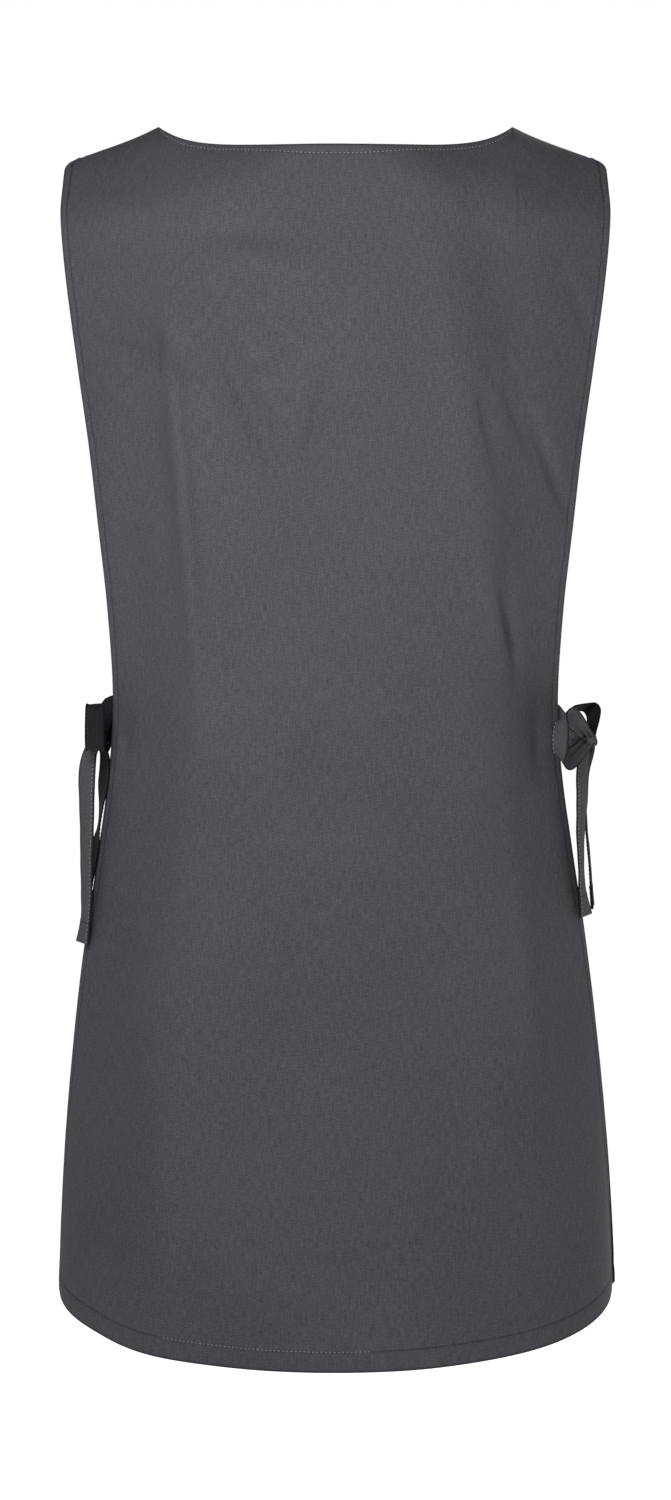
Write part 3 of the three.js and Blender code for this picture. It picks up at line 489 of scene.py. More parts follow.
class Cloth:
    """A panel's grid of cloth, with its flat coordinates, normals and distances from the edges."""

    def __init__(self, panel, creases, phase):
        self.panel = panel
        top_z = panel.z[0]
        half, wrap = panel.profile["half"][0], panel.profile["wrap"][0]
        self.top_speed = float(edge_speed(panel, np.array(top_z)))
        self.inner_share = 1 - SIDE_LINES[-1] / self.top_speed
        neck = math.asin(NECK_HALF * math.sin(wrap) / half) / wrap
        count = int(math.pi * HEM_WIDTH / 4 / FIELD_SPACING)
        even = np.linspace(0, self.inner_share, CROWD_STEPS)
        crowd = 1 + NECK_CROWD * bell((even - neck) / NECK_CROWD_REACH)
        rank = np.concatenate([[0], np.cumsum((crowd[1:] + crowd[:-1]) / 2)])
        at_neck = np.interp(neck, even, rank)
        neck_count = round(count * at_neck / rank[-1])
        inward = np.interp(np.linspace(0, at_neck, neck_count + 1), rank, even)
        outward = np.interp(np.linspace(at_neck, rank[-1], count - neck_count + 1), rank, even)
        field = np.concatenate([inward, outward[1:]])
        sides = 1 - np.array(SIDE_LINES[-2::-1]) / self.top_speed
        half_shares = np.concatenate([field, sides])
        self.shares = np.concatenate([-half_shares[:0:-1], half_shares])
        self.ridge, self.top, self.hem = columns_of(panel, self.shares)
        self.path = self._paths()
        z = self.ridge - drop_at(self.path)
        self.share = self._shares(z)
        self.points = cloth_point(panel, self.share, z, self.ridge)
        self.normals = self._normals()
        self.u, self.v = self._flat()
        self._edge_distances()
        across = self.points[..., 0] / section_at(panel, z)["half"]
        freedom = np.clip(self.from_edge / RIPPLE_FREE, RIPPLE_AT_EDGE, 1)
        creased = fold_at(creases, across, z, CREASE_DEPTH) * np.clip(self.from_edge / CREASE_FREE, 0, 1)
        self.relief = ripple(self.u, self.v, phase) * freedom + self._hem_relief(phase) + creased

    def _paths(self):
        """Each point's path: fixed distances from the top edge and the hem, and even rows between them."""
        fine = np.arange(0, TOP_PROBE, TOP_PROBE_STEP)[:, None]
        probe = self.top + fine
        points = cloth_point(self.panel, self.shares, self.ridge - drop_at(probe), self.ridge)
        columns = zip(walked(points).T, probe.T)
        near = np.stack([np.interp(TOP_LINES, along, path) for along, path in columns], axis=1)
        far = self.hem - np.array(BOTTOM_LINES[::-1])[:, None]
        rows = int((LENGTH - TOP_LINES[-1] - BOTTOM_LINES[-1]) / FIELD_SPACING)
        t = np.linspace(0, 1, rows + 1)[1:-1, None] ** ROW_POWER
        middle = near[-1] + t * (far[0] - near[-1])
        return np.vstack([near, middle, far])

    def _shares(self, z):
        """Each point's share, so that the lines beside the side edges keep their distances."""
        speed = edge_speed(self.panel, z)
        lines = len(SIDE_LINES) - 1
        share = self.shares * (1 - SIDE_LINES[-1] / speed) / self.inner_share
        for k in range(lines):
            share[:, k] = -(1 - SIDE_LINES[k] / speed[:, k])
            share[:, -1 - k] = 1 - SIDE_LINES[k] / speed[:, -1 - k]
        return share

    def _at(self, share, path):
        return cloth_point(self.panel, share, self.ridge - drop_at(path), self.ridge)

    def _normals(self):
        down = self._at(self.share, self.path + NORMAL_PATH_STEP) - self.points
        inward = np.where(self.share > 0, -1, 1)
        beside = self._at(self.share + inward * NORMAL_SHARE_STEP, self.path)
        across = (beside - self.points) * inward[..., None]
        return unit(np.cross(down, across) * -self.panel.face)

    def _flat(self):
        u = walked(self.points.swapaxes(0, 1)).T
        middle = u.shape[1] // 2
        return u - u[:, middle : middle + 1], self.path + (NECK_HEIGHT - self.ridge)

    def _edge_distances(self):
        self.side = np.minimum(self.u - self.u[:, :1], self.u[:, -1:] - self.u)
        self.from_top = walked(self.points)
        self.from_bottom = self.from_top[-1] - self.from_top
        self.from_edge = np.minimum(np.minimum(self.side, self.from_top), self.from_bottom)
        top_x = np.abs(self.points[0, :, 0])
        self.on_neck = step_down(top_x, NECK_HALF - 1, NECK_BLEND)

    def _hem_relief(self, phase):
        """The groove that each line of stitches pulls, and the puckers beside it."""
        relief = np.zeros(self.u.shape)
        bands = (
            (self.side, SIDE_STITCH, SIDE_HEM, self.v, 1),
            (self.from_top, TOP_STITCH, TOP_HEM, self.u, self.on_neck),
            (self.from_bottom, BOTTOM_STITCH, BOTTOM_HEM, self.u, 1),
        )
        for distance, stitch, hem, along, there in bands:
            groove = -GROOVE_DEPTH * bell((distance - stitch) / GROOVE_REACH)
            roll = HEM_ROLL * np.sin(math.pi * np.clip(distance / stitch, 0, 1))
            long_wave = np.sin(along / PUCKER_LONG + 2 * np.sin(along / PUCKER_DRIFT + phase))
            short_wave = PUCKER_SHORT_SHARE * np.sin(along / PUCKER_SHORT + phase)
            strength = PUCKER_MEAN + PUCKER_SWING * np.sin(along / PUCKER_SWELL + phase)
            beside = bell((distance - stitch) / (hem / 2))
            relief += (groove + roll + PUCKER_HEIGHT * (long_wave + short_wave) * strength * beside) * there
        return relief

    def _bands(self, form, places):
        """The largest of one form along the side, bottom and neck edges, each at its own place."""
        side, bottom, top = places
        most = np.maximum(form(self.side, side), form(self.from_bottom, bottom))
        return np.maximum(most, form(self.from_top, top) * self.on_neck)

    def thickness(self):
        hems = (SIDE_HEM, BOTTOM_HEM, TOP_HEM)
        return WALL + (HEM_WALL - WALL) * self._bands(lambda away, hem: step_down(away, hem, HEM_STEP), hems)

    def painted_shade(self):
        """Painted shade: dark along the edges and, less so, in the grooves of the stitches."""
        stitches = (SIDE_STITCH, BOTTOM_STITCH, TOP_STITCH)
        seams = self._bands(lambda away, stitch: bell((away - stitch) / SEAM_SHADE_REACH), stitches)
        return np.maximum(bell(self.from_edge / PAINTED_SHADE_REACH), SEAM_SHADE * seams)

    def layers(self):
        """The outer and inner faces, which meet in a rounded nose along every edge."""
        wall = self.thickness()
        nose = wall / 2
        into = np.clip(1 - self.from_edge / nose, 0, 1)
        inset = nose * (1 - np.sqrt(1 - into**2))
        outer = self.points + self.normals * (self.relief - inset)[..., None]
        inner = self.points + self.normals * (self.relief - wall + inset)[..., None]
        for edge in GRID_EDGES:
            inner[edge] = outer[edge]
        return outer, inner

    def stitch_lines(self):
        """The points and normals of the outer face along each line of stitches, with its thread: painted
        shade on the sides and the bottom's ends, a painted highlight on the neck and the bottom's middle.
        """
        outer, _ = self.layers()
        side = SIDE_LINES.index(SIDE_STITCH)
        top = TOP_LINES.index(TOP_STITCH)
        bottom = -1 - BOTTOM_LINES.index(BOTTOM_STITCH)
        neck = self.on_neck > 0.5
        turns = np.searchsorted(outer[bottom][:, 0], (BOTTOM_HIGHLIGHT_FROM, BOTTOM_HIGHLIGHT_TO))
        parts = zip(
            np.split(outer[bottom], turns),
            np.split(self.normals[bottom], turns),
            (SHADE_AND_BLACK_STITCH, HIGHLIGHT_STITCH, SHADE_AND_BLACK_STITCH),
        )
        bottom_lines = [part for part in parts if len(part[0]) > 1]
        return [
            (outer[:, side], self.normals[:, side], SHADE_AND_BLACK_STITCH),
            (outer[:, -1 - side], self.normals[:, -1 - side], SHADE_AND_BLACK_STITCH),
            (outer[top][neck], self.normals[top][neck], HIGHLIGHT_STITCH),
            *bottom_lines,
        ]


def put_in_scene(name, data):
    thing = bpy.data.objects.new(name, data)
    bpy.context.scene.collection.objects.link(thing)
    return thing


def new_object(name, vertices, faces, uvs=None, painted_shades=None):
    """A mesh object from millimetre points. The painted shade of each point goes from 0 in the open cloth to
    1 on an edge.
    """
    mesh = bpy.data.meshes.new(name)
    mesh.from_pydata((np.asarray(vertices) * MM).tolist(), [], [list(map(int, face)) for face in faces])
    if uvs is not None:
        layer = mesh.uv_layers.new(name="cloth")
        corners = np.empty(len(mesh.loops), int)
        mesh.loops.foreach_get("vertex_index", corners)
        layer.data.foreach_set("uv", (np.asarray(uvs) * MM)[corners].astype(np.float32).ravel())
    if painted_shades is not None:
        mesh.attributes.new("painted_shade", "FLOAT", "POINT").data.foreach_set("value", painted_shades.astype(np.float32))
    mesh.validate()
    mesh.shade_smooth()
    return put_in_scene(name, mesh)


def panel_object(name, cloth, material):
    """Both faces of a panel's cloth as one closed mesh."""
    outer, inner = cloth.layers()
    rows, columns = cloth.u.shape
    index_out = np.arange(rows * columns).reshape(rows, columns)
    index_in = index_out + rows * columns
    for edge in GRID_EDGES:
        index_in[edge] = index_out[edge]

    def quads(index):
        a, b = index[:-1, :-1], index[1:, :-1]
        c, d = index[1:, 1:], index[:-1, 1:]
        return np.stack([a, b, c, d], axis=-1).reshape(-1, 4)

    front, back = quads(index_out), quads(index_in)[:, ::-1]
    faces = np.vstack([front, back])
    if cloth.panel.face > 0:
        faces = faces[:, ::-1]
    vertices = np.vstack([outer.reshape(-1, 3), inner.reshape(-1, 3)])
    flat = np.stack([cloth.u, cloth.v], axis=-1).reshape(-1, 2)
    used = np.unique(faces)
    renumber = np.zeros(len(vertices), int)
    renumber[used] = np.arange(len(used))
    uvs = np.vstack([flat, flat])[used]
    # Painted shade along the edges and stitch grooves, on both faces
    painted_shades = np.tile(cloth.painted_shade().ravel(), 2)[used]
    panel = new_object(name, vertices[used], renumber[faces], uvs, painted_shades)
    panel.data.materials.append(material)
    return panel


# Ties
TIE_DOWN = 398
STRAP_WIDTH = 14.5
STRAP_WALL = 1.1
STRAP_STEP = 1.6
LOOP_LENGTH = 38
LOOP_HEIGHT = 31
TAIL_LENGTH = 145
KNOT_DOWN = 24
KNOT_AHEAD = 6
LEFT_KNOT_OUT = 7.2
RIGHT_KNOT_OUT = 22.5

# Where the lines along a strap lie, in millimetres in from its edge
STRAP_LINES = (0, 0.12, 0.3, 0.55, 1.1, 1.7, 2.1, 2.5, 3.2, 4.4, 5.8, 7.25)
STRAP_STITCH = 2.1
STRAP_GROOVE = 0.16
STRAP_GROOVE_REACH = 0.5

# A strap's width in the knot as a share of its own, and where tails and stubs have all of it
STRAP_GATHER = 0.62
TAIL_FREE = 0.2
STUB_FREE = 0.8

# Pleats where a strap is gathered, its hollow form, and its waves and twists with their lengths
STRAP_PLEAT = 0.9
STRAP_PLEATS = 3
STRAP_CUP = 0.5
STRAP_CUP_MIDDLE = 0.35
STRAP_WAVE = 0.12
STRAP_WAVE_LENGTH = 7
STRAP_TWIST = 0.08
STRAP_TWIST_LENGTH = 3.1

# The end of a tail is folded over: its length, its extra thickness, and the line of stitches across it
END_FOLD = 16
END_BULK = 0.75
END_STEP = 0.4
END_STITCH = 15
END_STITCH_INSET = 3

# Where the twill starts: apart by this much for each strap, and for a strap's two faces
TWILL_SHIFT = 37
UNDERSIDE_SHIFT = 40

# The stub under its panel's hem: a gap, then rows of millimetres ahead of the edge, share of the way down
# through the hem and share of the sag
STUB_GAP = 0.15
STUB_PLACES = ((-SIDE_STITCH, 1, 0.3), (0.5, 1, 0.6), (5, 0.5, 1))

# The knot's core and the band round it
KNOT_CORE = 3.6
KNOT_CORE_STRETCH = 1.55
KNOT_CORE_CAP = 0.06
KNOT_CORE_CLOTH = 7
KNOT_WRAP = 4.4
KNOT_BAND = 8
KNOT_BAND_SQUASH = 0.12
KNOT_BAND_PLEAT = 0.35
KNOT_BAND_SWELL = 0.22
KNOT_BAND_SLANT = 1.2
KNOT_BAND_EDGE = 0.02

# A loop of a bow from the knot to its far end, as shares of its length and of its half height. CONE_TURN
# is how sharply a flared loop turns over at the knot.
LOOP_FORM = ((0, 0.05), (0.22, 0.3), (0.5, 0.68), (0.78, 0.96), (0.95, 0.8), (1, 0.28))
CONE_TURN = 2.5

# Tails. down is a share of the tail's length, off and ahead are shares of the strap's width from the
# panel's side edge, and face turns the strap's flat side from facing backward, in degrees.
TAIL_COLUMNS = ("down", "off", "ahead", "face")
LEFT_BACK_TAIL = (
    (0, 0.62, 0.35, 0),
    (0.07, 1, 0.3, 14),
    (0.16, 1.12, 0.22, 30),
    (0.3, 1.02, 0.1, 40),
    (0.54, 0.76, -0.1, 50),
    (0.76, 0.52, -0.3, 56),
    (0.9, 0.38, -0.42, 60),
    (1, 0.4, -0.45, 50),
)
LEFT_FRONT_TAIL = (
    (0.02, 0.5, 0.42, 62),
    (0.1, 0.1, 0.34, 56),
    (0.26, 0.02, 0.26, 58),
    (0.5, 0.04, 0.14, 84),
    (0.68, 0.06, 0.14, 66),
    (1, 0.04, 0.3, 74),
)
RIGHT_BACK_TAIL = (
    (0, 1.55, 0.45, 70),
    (0.08, 1.3, 0.7, 75),
    (0.2, 0.85, 0.85, 78),
    (0.4, 0.46, 0.88, 84),
    (0.7, 0.2, 0.9, 84),
    (1, 0.02, 0.9, 84),
)
RIGHT_FRONT_TAIL = (
    (0.01, 1.62, 0.3, 42),
    (0.06, 1.52, 0.1, 42),
    (0.14, 1.36, -0.05, 46),
    (0.35, 1.04, -0.12, 56),
    (0.52, 0.78, -0.18, 64),
    (0.7, 0.56, -0.22, 72),
    (0.86, 0.4, -0.25, 68),
    (1, 0.34, -0.25, 52),
)

# Each side's bow. The back tie runs through the knot and the front tie is knotted round it. length, height
# and tail_length are shares of the loop's and the tail's sizes, out and rise are the loop's two ways, cone
# flares it to one side, and loop_free is the share of its length at which the strap has its full width.
# sag is how far the stub hangs down, and start tells the straps' twill apart. Tones are 0 for grey and 1
# for black, on the strap's two faces. loop_face is 1 where a loop has its first tone inside.
PLAIN_TIE = {
    "slot": "tie_twill",
    "cone": 0,
    "loop_face": -1,
    "loop_free": 0.7,
    "stub_tones": (0, 1),
    "loop_tones": (0, 1),
    "tail_tones": (0, 1),
}
TIE_LEFT_BACK = dict(PLAIN_TIE, name="tie_left_back", start=1, sag=2, stub_tones=(1, 1), loop_tones=(1, 1))
TIE_LEFT_BACK.update(length=0.85, height=0.97, out=(0.12, 0.95, 0.3), rise=(0, -0.3, 0.95))
TIE_LEFT_BACK.update(tail_length=0.985, tail=LEFT_BACK_TAIL)

TIE_LEFT_FRONT = dict(PLAIN_TIE, name="tie_left_front", start=2, sag=19, slot="tie_black")
TIE_LEFT_FRONT.update(length=1, height=1.065, out=(0, -0.94, 0.34), rise=(0, 0.34, 0.94))
TIE_LEFT_FRONT.update(loop_face=1, loop_free=1.3, stub_tones=(1, 1), tail_tones=(1, 1))
TIE_LEFT_FRONT.update(tail_length=0.8, tail=LEFT_FRONT_TAIL)

TIE_RIGHT_BACK = dict(PLAIN_TIE, name="tie_right_back", start=3, sag=13, cone=0.2)
TIE_RIGHT_BACK.update(length=0.64, height=0.74, out=(-0.3, 0.3, 0.9), rise=(0.8, 0.58, 0.1))
TIE_RIGHT_BACK.update(tail_length=0.828, tail=RIGHT_BACK_TAIL)

TIE_RIGHT_FRONT = dict(PLAIN_TIE, name="tie_right_front", start=4, sag=22, cone=1.35, loop_tones=(0, 0))
TIE_RIGHT_FRONT.update(length=1.02, height=1.08, out=(-0.58, -0.81, 0.1), rise=(0, 0, 1))
TIE_RIGHT_FRONT.update(tail_length=0.855, tail=RIGHT_FRONT_TAIL)

BOW_COLUMNS = ("side", "knot_out", "wrap_axis", "back", "front")
BOWS = (
    (-1, LEFT_KNOT_OUT, (0.15, -0.55, 0.82), TIE_LEFT_BACK, TIE_LEFT_FRONT),
    (1, RIGHT_KNOT_OUT, (-0.35, -0.45, 0.82), TIE_RIGHT_BACK, TIE_RIGHT_FRONT),
)


def smooth_rows(rows, step):
    """Rows of numbers, the first three a place, resampled about every step along one smooth curve."""
    rows = np.asarray(rows, float)
    knots = walked(rows[:, :3])
    slopes = np.empty_like(rows)
    slopes[1:-1] = (rows[2:] - rows[:-2]) / (knots[2:] - knots[:-2])[:, None]
    slopes[0] = (rows[1] - rows[0]) / knots[1]
    slopes[-1] = (rows[-1] - rows[-2]) / (knots[-1] - knots[-2])
    at = np.linspace(0, knots[-1], max(3, int(knots[-1] / step) + 1))
    i = np.clip(np.searchsorted(knots, at, side="right") - 1, 0, len(rows) - 2)
    span = (knots[i + 1] - knots[i])[:, None]
    t = ((at - knots[i]) / span[:, 0])[:, None]
    a, b = rows[i], rows[i + 1]
    return curve(a, b, slopes[i] * span, slopes[i + 1] * span, t)


def gathered(away, free):
    """Width of a strap that is bunched where it enters a knot and full from free onward."""
    return STRAP_WIDTH * (STRAP_GATHER + (1 - STRAP_GATHER) * smooth_step(np.clip(away / free, 0, 1)))


def beside_edge(panel, side, z, off, ahead):
    """Points beside a panel's side edge, off its outer face and ahead of the edge along the cloth."""
    edge = cloth_point(panel, float(side), z, NECK_HEIGHT)
    along = unit(edge - cloth_point(panel, side * (1 - EDGE_PROBE), z, NECK_HEIGHT))
    outward = np.zeros_like(edge)
    outward[..., 0] = side * np.abs(along[..., 1])
    outward[..., 1] = panel.face * np.abs(along[..., 0])
    return edge + outward * np.asarray(off)[..., None] + along * np.asarray(ahead)[..., None]


def knot_of(bow):
    """The middle of a bow's knot."""
    z = np.array(NECK_HEIGHT - TIE_DOWN - KNOT_DOWN, float)
    return beside_edge(BACK, bow["side"], z, bow["knot_out"], KNOT_AHEAD)


def loop_frames(knot, tie):
    """Rows of place, way across and width along a loop, from the knot and back to it."""
    out = unit(np.array(tie["out"], float))
    axis = unit(np.cross(out, tie["rise"]))
    rise = np.cross(axis, out)
    form = list(LOOP_FORM) + [(o, -r) for o, r in reversed(LOOP_FORM)]
    rows = []
    for share_out, share_rise in form:
        reach = share_out * tie["length"] * LOOP_LENGTH
        lift = share_rise * tie["height"] * LOOP_HEIGHT / 2
        across = unit(axis - rise * tie["cone"] * math.tanh(CONE_TURN * share_rise))
        rows.append([*(knot + out * reach + rise * lift), *across, gathered(share_out, tie["loop_free"])])
    return smooth_rows(rows, STRAP_STEP)


def tail_frames(knot, side, tie):
    """The same along a tail, from the knot down to its end."""
    tail = named(TAIL_COLUMNS, tie["tail"])
    z = knot[2] - tail["down"] * tie["tail_length"] * TAIL_LENGTH
    at = beside_edge(BACK, side, z, tail["off"] * STRAP_WIDTH, tail["ahead"] * STRAP_WIDTH)
    turn = np.radians(tail["face"])
    across = np.stack([-side * np.cos(turn), -np.sin(turn), 0 * turn], axis=1)
    width = gathered(tail["down"], TAIL_FREE)
    return smooth_rows(np.column_stack([at, across, width]), STRAP_STEP)


def stub_frames(panel, side, knot, sag):
    """The same from under a panel's side hem to the knot, with a little sag on the way."""
    z = np.array(NECK_HEIGHT - TIE_DOWN, float)
    under = -HEM_WALL - STRAP_WALL / 2 - STUB_GAP
    down = np.array([0, 0, -sag])
    places = []
    for ahead, depth, sagged in STUB_PLACES:
        free = beside_edge(panel, side, z, under * depth, ahead)
        places.append(free + down * sagged)
    places += [(free + knot) / 2 + down, knot]
    rows = [[*at, 0, 0, 1, gathered(1 - i / 4, STUB_FREE)] for i, at in enumerate(places)]
    return smooth_rows(rows, STRAP_STEP)


def flat_grid(across, down):
    """Flat coordinates of a grid of points, row by row."""
    return np.stack(np.meshgrid(across, down), axis=-1).reshape(-1, 2)


def tube_faces(rings, around, ends="open"):
    """Quads between rings of points. The two ends are open, capped or joined to each other."""
    faces = []
    for i in range(rings if ends == "joined" else rings - 1):
        here, there = i * around, (i + 1) % rings * around
        for k in range(around):
            after = (k + 1) % around
            faces.append((here + k, there + k, there + after, here + after))
    if ends == "capped":
        faces.append(tuple(range(around)))
        faces.append(tuple(range(rings * around - 1, (rings - 1) * around - 1, -1)))
    return faces


def spokes_of(axis, turn):
    """An axis as a unit vector, and the ways outward from it at each turn."""
    axis = unit(np.array(axis, float))
    first = unit(np.cross(axis, (1, 0, 0.3)))
    second = np.cross(axis, first)
    return axis, first * np.cos(turn)[..., None] + second * np.sin(turn)[..., None]


class Solids:
    """Closed bodies that become one mesh, with flat coordinates, painted shade at each point and a material
    for each face.
    """

    def __init__(self):
        self.vertices, self.faces, self.flats, self.kinds, self.painted_shades = [], [], [], [], []
        self.count = 0

    def add(self, vertices, faces, flats, kinds, painted_shades=None):
        self.vertices.append(vertices)
        self.painted_shades.append(np.zeros(len(vertices)) if painted_shades is None else painted_shades)
        self.flats.append(flats)
        self.faces.extend([tuple(self.count + i for i in face) for face in faces])
        self.kinds.extend(kinds)
        self.count += len(vertices)

    def build(self, name, materials):
        painted_shades = np.concatenate(self.painted_shades)
        thing = new_object(name, np.vstack(self.vertices), self.faces, np.vstack(self.flats), painted_shades)
        for material in materials:
            thing.data.materials.append(material)
        thing.data.polygons.foreach_set("material_index", np.array(self.kinds, np.int32))
        return thing


def ribbon(solids, stitches, rows, face, start, tones, end_fold=False):
    """A strap along rows of place, way across and width. face names the side with the first of its tones."""
    at, across, width = rows[:, :3], rows[:, 3:6], rows[:, 6]
    along = unit(np.gradient(at, axis=0))
    thick = unit(np.cross(along, across))
    wide = np.cross(thick, along)
    travel = walked(at)
    lines = np.array(STRAP_LINES)
    half = STRAP_WIDTH / 2
    s = np.concatenate([-(1 - lines / half), (1 - lines[-2::-1] / half)])
    from_edge = half * (1 - np.abs(s))
    nose = STRAP_WALL / 2
    height = nose * np.sqrt(1 - np.clip(1 - from_edge / nose, 0, 1) ** 2)
    height -= STRAP_GROOVE * bell((from_edge - STRAP_STITCH) / STRAP_GROOVE_REACH) * (height > 0)
    bunch = np.clip((1 - width / STRAP_WIDTH) / (1 - STRAP_GATHER), 0, 1)[:, None]
    pleats = STRAP_PLEAT * bunch * np.cos(STRAP_PLEATS * math.pi * s)
    cup = STRAP_CUP * (s**2 - STRAP_CUP_MIDDLE) * -face
    wave = STRAP_WAVE * np.sin(travel / STRAP_WAVE_LENGTH + start)[:, None]
    twist = STRAP_TWIST * np.sin(travel / STRAP_TWIST_LENGTH)[:, None] * s
    bulk = np.ones(len(at))
    if end_fold:
        bulk += END_BULK * step_down(travel[-1] - travel, END_FOLD, END_STEP)
    middle = at[:, None] + wide[:, None] * (s * width[:, None] / 2)[..., None]
    middle = middle + thick[:, None] * (pleats + cup + wave + twist)[..., None]
    rise = thick[:, None] * (height * bulk[:, None])[..., None]
    top, low = middle + rise, middle - rise
    vertices = np.concatenate([top, low[:, -2:0:-1]], axis=1).reshape(-1, 3)
    flat_row = np.concatenate([s * half, s[-2:0:-1] * half + UNDERSIDE_SHIFT])
    flats = flat_grid(flat_row, start * TWILL_SHIFT + travel)
    n, m = len(at), len(s)
    ring = 2 * m - 2
    faces = [(a, d, c, b) for a, b, c, d in tube_faces(n, ring)]
    top_tone, low_tone = tones if face > 0 else tones[::-1]
    kinds = ([top_tone] * (m - 1) + [low_tone] * (m - 1)) * (n - 1)
    for i, flip in ((0, False), (n - 1, True)):
        for k in range(m - 1):
            corners = dict.fromkeys((k, -k % ring, ring - k - 1, k + 1))
            cap = [i * ring + corner for corner in corners]
            faces.append(cap[::-1] if flip else cap)
            kinds.append(tones[1])
    # Painted shade along the strap's edges
    painted_shade = bell(from_edge / PAINTED_SHADE_REACH)
    solids.add(vertices, faces, flats, kinds, np.tile(np.concatenate([painted_shade, painted_shade[-2:0:-1]]), n))
    stitch = m - 1 - STRAP_LINES.index(STRAP_STITCH)
    both = ((top, thick, top_tone), (low, -thick, low_tone))
    for points, normals, tone in both:
        # Grey faces get thread with a painted highlight, black faces the dark thread that elsewhere paints
        # shade
        stitches.append((points[:, stitch], normals, SHADE_AND_BLACK_STITCH if tone else HIGHLIGHT_STITCH))
    if end_fold:
        # Stitches across the folded end get thread with painted shade on both faces
        row = int(np.argmin(np.abs(travel - (travel[-1] - END_STITCH))))
        for points, normals, _ in both:
            line = points[row, END_STITCH_INSET:-END_STITCH_INSET]
            stitches.append((line, np.tile(normals[row], (len(line), 1)), SHADE_AND_BLACK_STITCH))


def knot_band(solids, knot, axis, start):
    """A strap wrapped once round the knot, with pleats along it."""
    around, across = 40, 15
    turn = np.linspace(0, 2 * math.pi, around, endpoint=False)[:, None]
    s = np.linspace(-1, 1, across)
    axis, spokes = spokes_of(axis, turn)
    squash = 1 + KNOT_BAND_SQUASH * np.cos(2 * turn + 0.6)
    pleats = KNOT_BAND_PLEAT * np.cos(4 * math.pi * s + 1.5 * np.sin(turn))
    swell = KNOT_WRAP * squash * (1 - KNOT_BAND_SWELL * s**2) + pleats
    wall = STRAP_WALL / 2 * np.sqrt(np.clip(1 - s**6, 0, 1))
    slant = axis * (s * KNOT_BAND / 2 + KNOT_BAND_SLANT * np.sin(turn))[..., None]
    outer = knot + spokes * (swell + wall)[..., None] + slant
    inner = knot + spokes * (swell - wall - KNOT_BAND_EDGE)[..., None] + slant
    ring = 2 * across - 2
    joined = np.concatenate([outer, inner[:, -2:0:-1]], axis=1).reshape(-1, 3)
    faces = tube_faces(around, ring, "joined")
    flats = flat_grid(np.arange(ring) * 1.0, turn[:, 0] * KNOT_WRAP + start * TWILL_SHIFT)
    solids.add(joined, faces, flats, [0] * len(faces))


def knot_core(solids, knot, axis, start):
    """The bunched cloth inside the knot, which shows at both ends of the band."""
    rings, around = 14, 24
    slope = np.linspace(KNOT_CORE_CAP, math.pi - KNOT_CORE_CAP, rings)[:, None]
    turn = np.linspace(0, 2 * math.pi, around, endpoint=False)
    axis, spokes = spokes_of(axis, turn)
    pleats = 1 + 0.13 * np.cos(5 * turn + 0.8) + 0.06 * np.cos(9 * turn)
    radius = KNOT_CORE * np.sin(slope) * pleats
    along = KNOT_CORE_STRETCH * KNOT_CORE * np.cos(slope)
    vertices = (knot + spokes * radius[..., None] + axis * along[..., None]).reshape(-1, 3)
    faces = tube_faces(rings, around, "capped")
    flats = flat_grid(turn * KNOT_CORE, slope[:, 0] * KNOT_CORE_CLOTH + start * TWILL_SHIFT)
    solids.add(vertices, faces, flats, [0] * len(faces))


# Stitches: a thread that dips into the cloth at both ends, with a dark body of painted shade where the needle
# hole lies between two threads.
# THREAD_FORM has rows of place along the thread, height and share of the radius.
STITCH_PITCH = 2.9
STITCH_LENGTH = 1.9
STITCH_PROBE = 0.6
THREAD_RADIUS = 0.32
THREAD_SIDES = 6
THREAD_FORM = ((-0.5, -0.22, 0.4), (-0.38, 0.02, 0.95), (0, 0.14, 1), (0.38, 0.02, 0.95), (0.5, -0.22, 0.4))
HOLE_RADIUS = 0.48
HOLE_TOP, HOLE_BOTTOM = 0.07, -0.2


def read_at(places, travel, rows):
    return np.stack([np.interp(places, travel, column) for column in rows.T], axis=1)


def stitch_object(name, lines, materials):
    """Threads and dark bodies of painted needle-hole shade along lines of points with their normals and
    threads.
    """
    circle = [(math.cos(a), math.sin(a)) for a in np.linspace(0, 2 * math.pi, THREAD_SIDES, endpoint=False)]
    thread = [
        (length * STITCH_LENGTH, lift + THREAD_RADIUS * size * up, THREAD_RADIUS * size * aside)
        for length, lift, size in THREAD_FORM
        for up, aside in circle
    ]
    thread_faces = tube_faces(len(THREAD_FORM), THREAD_SIDES, "capped")
    to_hole = STITCH_PITCH / 2
    hole = [(to_hole + HOLE_RADIUS * up, 0, HOLE_RADIUS * aside) for up, aside in circle]
    hole += [(to_hole, HOLE_TOP, 0), (to_hole, HOLE_BOTTOM, 0)]
    upper = [(k, (k + 1) % THREAD_SIDES, THREAD_SIDES) for k in range(THREAD_SIDES)]
    hole_faces = upper + [(b, a, tip + 1) for a, b, tip in upper]
    form = np.array(thread + hole)
    faces = thread_faces + [tuple(len(thread) + i for i in face) for face in hole_faces]
    solids = Solids()
    for points, normals, tone in lines:
        kinds = [tone] * len(thread_faces) + [HOLE_SHADE] * len(hole_faces)
        travel = walked(points)
        count = int(travel[-1] / STITCH_PITCH)
        if count < 1:
            continue
        places = (np.arange(count) + 0.5) * travel[-1] / count
        ahead = read_at(places + STITCH_PROBE, travel, points)
        along = unit(ahead - read_at(places - STITCH_PROBE, travel, points))
        normal = unit(read_at(places, travel, normals))
        frames = np.stack([along, normal, unit(np.cross(along, normal))], axis=1)
        for middle, axes in zip(read_at(places, travel, points), frames):
            solids.add(middle + form @ axes, faces, np.zeros((len(form), 2)), kinds)
    return solids.build(name, materials)


